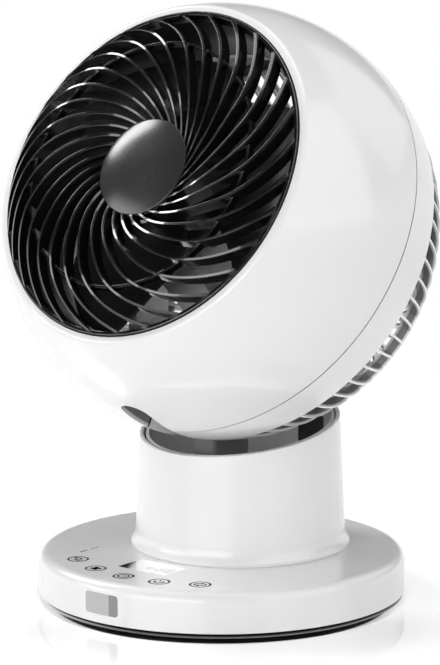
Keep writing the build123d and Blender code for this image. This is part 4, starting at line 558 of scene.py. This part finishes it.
# Lines of each key's icon, in units of ICON_R.
ICONS = {
    # An arc with an arrow head at its end, and a slanted stand.
    "key_swing": [
        arc(-0.1, -0.2, 0.62, 60, 190),
        [(-0.95, 0.1), (-0.72, -0.32), (-0.4, 0.0)],
        [(0.0, -0.5), (0.75, 0.35)],
        [(0.2, -0.5), (0.8, -0.1)],
    ],
    "key_tilt": fan_blades(),
    # A ring with a hand.
    "key_speed": [
        arc(0.0, 0.0, 0.68, 0, 360),
        [(-0.05, 0.1), (0.32, 0.1)],
    ],
    # An open ring with a stroke in its gap.
    "key_power": [
        arc(0.0, 0.0, 0.6, 150, 390),
        [(0.0, 0.1), (0.0, 0.6)],
    ],
    # A loop of two hooked arrows.
    "key_timer": [
        arc(-0.3, 0.0, 0.42, 40, 290),
        [(-0.3, -0.15), (-0.05, -0.42), (-0.35, -0.65)],
        arc(0.3, 0.0, 0.42, -140, 110),
        [(0.3, 0.15), (0.05, 0.42), (0.35, 0.65)],
    ],
}


def print_key(index, name):
    """Ring and icon on one key, turned with the key's place on the arc."""
    angle = (index - MIDDLE_KEY) * KEY_PITCH
    turn = Matrix.Rotation(angle, 2)
    middle = turn @ Vector((0.0, -KEY_CIRCLE))

    def build(bm):
        shapes = [[Vector(point) * ICON_R for point in shape] for shape in ICONS[name]]
        shapes.append([Vector(point) for point in arc(0.0, 0.0, KEY_R - RING_INSET, 0, 360, RING_STEPS)])
        for shape in shapes:
            closed = len(shape) > 3 and (shape[0] - shape[-1]).length < SAME_PLACE
            points = shape[:-1] if closed else shape
            stroke(bm, [middle + turn @ point for point in points], ICON_LINE, closed)

    mesh_piece(f"print_{name}", build, "panel_ink", f"{name}_cap")


def build_marks(bm):
    """Short dashes behind the first key."""
    for start, end, width in MARKS:
        stroke(bm, [(MARK_X, start * MM), (MARK_X, end * MM)], width * MM)


def build_digits(bm):
    """Unlit seven-segment digits at the right of the display."""
    for index in range(DIGITS):
        x, y = DIGIT_AT[0] + index * DIGIT_PITCH, DIGIT_AT[1]
        left, right = x - DIGIT_HALF[0], x + DIGIT_HALF[0]
        low, high = y - DIGIT_HALF[1], y + DIGIT_HALF[1]
        for bar in (low, y, high):
            stroke(bm, [(left, bar), (right, bar)], DIGIT_LINE)
        for side in (left, right):
            for start, end in ((low, y), (y, high)):
                stroke(bm, [(side, start + DIGIT_LINE), (side, end - DIGIT_LINE)], DIGIT_LINE)


def build_seal(bm):
    """Ring that closes the swivel's gap under the neck's foot."""
    (inner, outer), (bottom, top) = SEAL_R, SEAL_Z
    rings = []
    for i in range(SEAL_STEPS):
        angle = math.tau * i / SEAL_STEPS
        rings.append([bm.verts.new((r * math.cos(angle), NECK_AT + r * math.sin(angle), z))
                      for r, z in ((inner, bottom), (outer, bottom), (outer, top), (inner, top))])
    join_rings(bm, rings, closed=True)


def add_pieces():
    for index, name in enumerate(ICONS):
        print_key(index, name)
    mesh_piece("print_panel_marks", build_marks, "panel_ink", "base")
    mesh_piece("print_display_digits", build_digits, "ghost_segments", "base")
    mesh_piece("neck_seal", build_seal, "seal_white", "neck")


# ---- Table, room, lamps and camera ------------------------------------------------------------
def table_white():
    """White table: shadowed near the object, with painted shade in front of its foot and a painted light
    line under the pan, polished round its foot, and plain white farther off.
    """
    table = Surface("floor_white", FLOOR_WHITE, FLOOR_ROUGHNESS)
    seen = table.seen_rays()
    place = table.place()
    distance = table.vector("LENGTH", place)
    facing = table.vector("DOT_PRODUCT", table.vector("NORMALIZE", place), MIRROR_FRONT)
    front = table.span(facing, *FRONT_SPAN, 0.0, 1.0)
    outside = table.span(distance, PAN_R - PAN_BLUR, PAN_R, 0.0, 1.0)

    # Light of its own: a painted light line under the pan, and less light in front of the foot as painted
    # shade.
    across = table.vector("DOT_PRODUCT", place, (1.0, 0.0, 0.0))
    line = table.span(across, *PAINTED_LINE_FADE, *PAINTED_LINE_LIGHT)
    near = table.math("MULTIPLY", front, table.span(distance, *LIFT_REACH, 1.0, 0.0))
    own_light = table.mix(outside, line, table.span(near, 0.0, 1.0, *FLOOR_LIFT))
    lift = table.add("ShaderNodeEmission")
    table.feed(lift.inputs["Strength"], table.math("MULTIPLY", seen, own_light))
    lifted = table.add("ShaderNodeAddShader")
    table.feed(lifted.inputs[0], table.shader.outputs[0])
    table.feed(lifted.inputs[1], lift.outputs[0])

    # Polish: full beside the foot, faint beyond.
    polish = table.add("ShaderNodeBsdfGlossy")
    table.feed(polish.inputs["Roughness"], 0.0)
    table.feed(polish.inputs["Color"], (1.0, 1.0, 1.0))
    reach = table.span(facing, *MIRROR_SPAN, *MIRROR_DEPTH, curve="LINEAR")
    full = table.span(table.math("SUBTRACT", distance, reach), *MIRROR_REACH, 1.0, 0.0)
    faint = table.math("MULTIPLY", table.span(distance, *FAINT_REACH, 1.0, 0.0),
                       table.span(front, 0.0, 1.0, *FAINT_MIRROR))
    share = table.math("MULTIPLY", table.math("MAXIMUM", full, faint), outside)
    polished = table.mix_shader(share, lifted.outputs[0], polish.outputs[0])

    # Plain white farther off, where it is seen.
    fade = table.math("MULTIPLY", table.span(distance, *FLOOR_FADE, 0.0, 1.0), seen)
    plain = table.add("ShaderNodeEmission")
    table.feed(table.nodes["Material Output"].inputs["Surface"],
               table.mix_shader(fade, polished, plain.outputs[0]))
    return table.material


def floor():
    mesh = bpy.data.meshes.new("floor")
    bm = bmesh.new()
    bmesh.ops.create_grid(bm, x_segments=FLOOR_CELLS, y_segments=FLOOR_CELLS, size=FLOOR_HALF)
    bm.to_mesh(mesh)
    bm.free()
    mesh.materials.append(table_white())
    obj = bpy.data.objects.new("floor", mesh)
    bpy.context.scene.collection.objects.link(obj)


def world():
    """Room: white to the camera and in the polish, white cove and dark upper room to other gloss."""
    studio = bpy.data.worlds.new("studio")
    bpy.context.scene.world = studio
    room = Tree(studio)
    height = room.split(room.add("ShaderNodeTexCoord").outputs["Generated"])["Z"]
    cove = room.span(height, *HORIZON, 1.0, ROOM)
    level = room.mix(room.seen_rays(), AMBIENT, cove)
    back = room.nodes["Background"]
    room.feed(back.inputs["Color"], (1.0, 1.0, 1.0))
    plain = room.any_ray("Is Camera Ray", "Is Singular Ray")
    room.feed(back.inputs["Strength"], room.mix(plain, level, 1.0))


def lights():
    """Softboxes, all turned to the object."""
    for name, (direction, width, height, power) in LAMPS.items():
        toward = Vector(direction).normalized()
        data = bpy.data.lights.new(name, "AREA")
        data.energy = power
        data.shape = "RECTANGLE"
        data.size = width
        data.size_y = height
        obj = bpy.data.objects.new(name, data)
        obj.location = LAMP_TARGET + toward * LAMP_DISTANCE
        obj.rotation_mode = "QUATERNION"
        obj.rotation_quaternion = (-toward).to_track_quat("-Z", "Y")
        bpy.context.scene.collection.objects.link(obj)


def camera():
    flat = math.cos(CAM_ELEVATION)
    back = Vector((math.sin(CAM_AZIMUTH) * flat, -math.cos(CAM_AZIMUTH) * flat, math.sin(CAM_ELEVATION)))
    right = Vector((math.cos(CAM_AZIMUTH), math.sin(CAM_AZIMUTH), 0.0))
    target = right * CAM_AIM[0] + Vector((0.0, 0.0, CAM_AIM[1]))
    turn = Matrix((right, back.cross(right), back)).transposed() @ Matrix.Rotation(CAM_ROLL, 3, "Z")
    data = bpy.data.cameras.new("camera")
    data.lens = CAM_LENS
    data.clip_end = CAM_REACH
    obj = bpy.data.objects.new("camera", data)
    obj.matrix_world = Matrix.Translation(target + back * CAM_DISTANCE) @ turn.to_4x4()
    bpy.context.scene.collection.objects.link(obj)
    bpy.context.scene.camera = obj


dress_cad_nodes()
even_shading("grille_badge")
add_pieces()
floor()
world()
lights()
camera()
bpy.context.scene.view_settings.view_transform = "Standard"
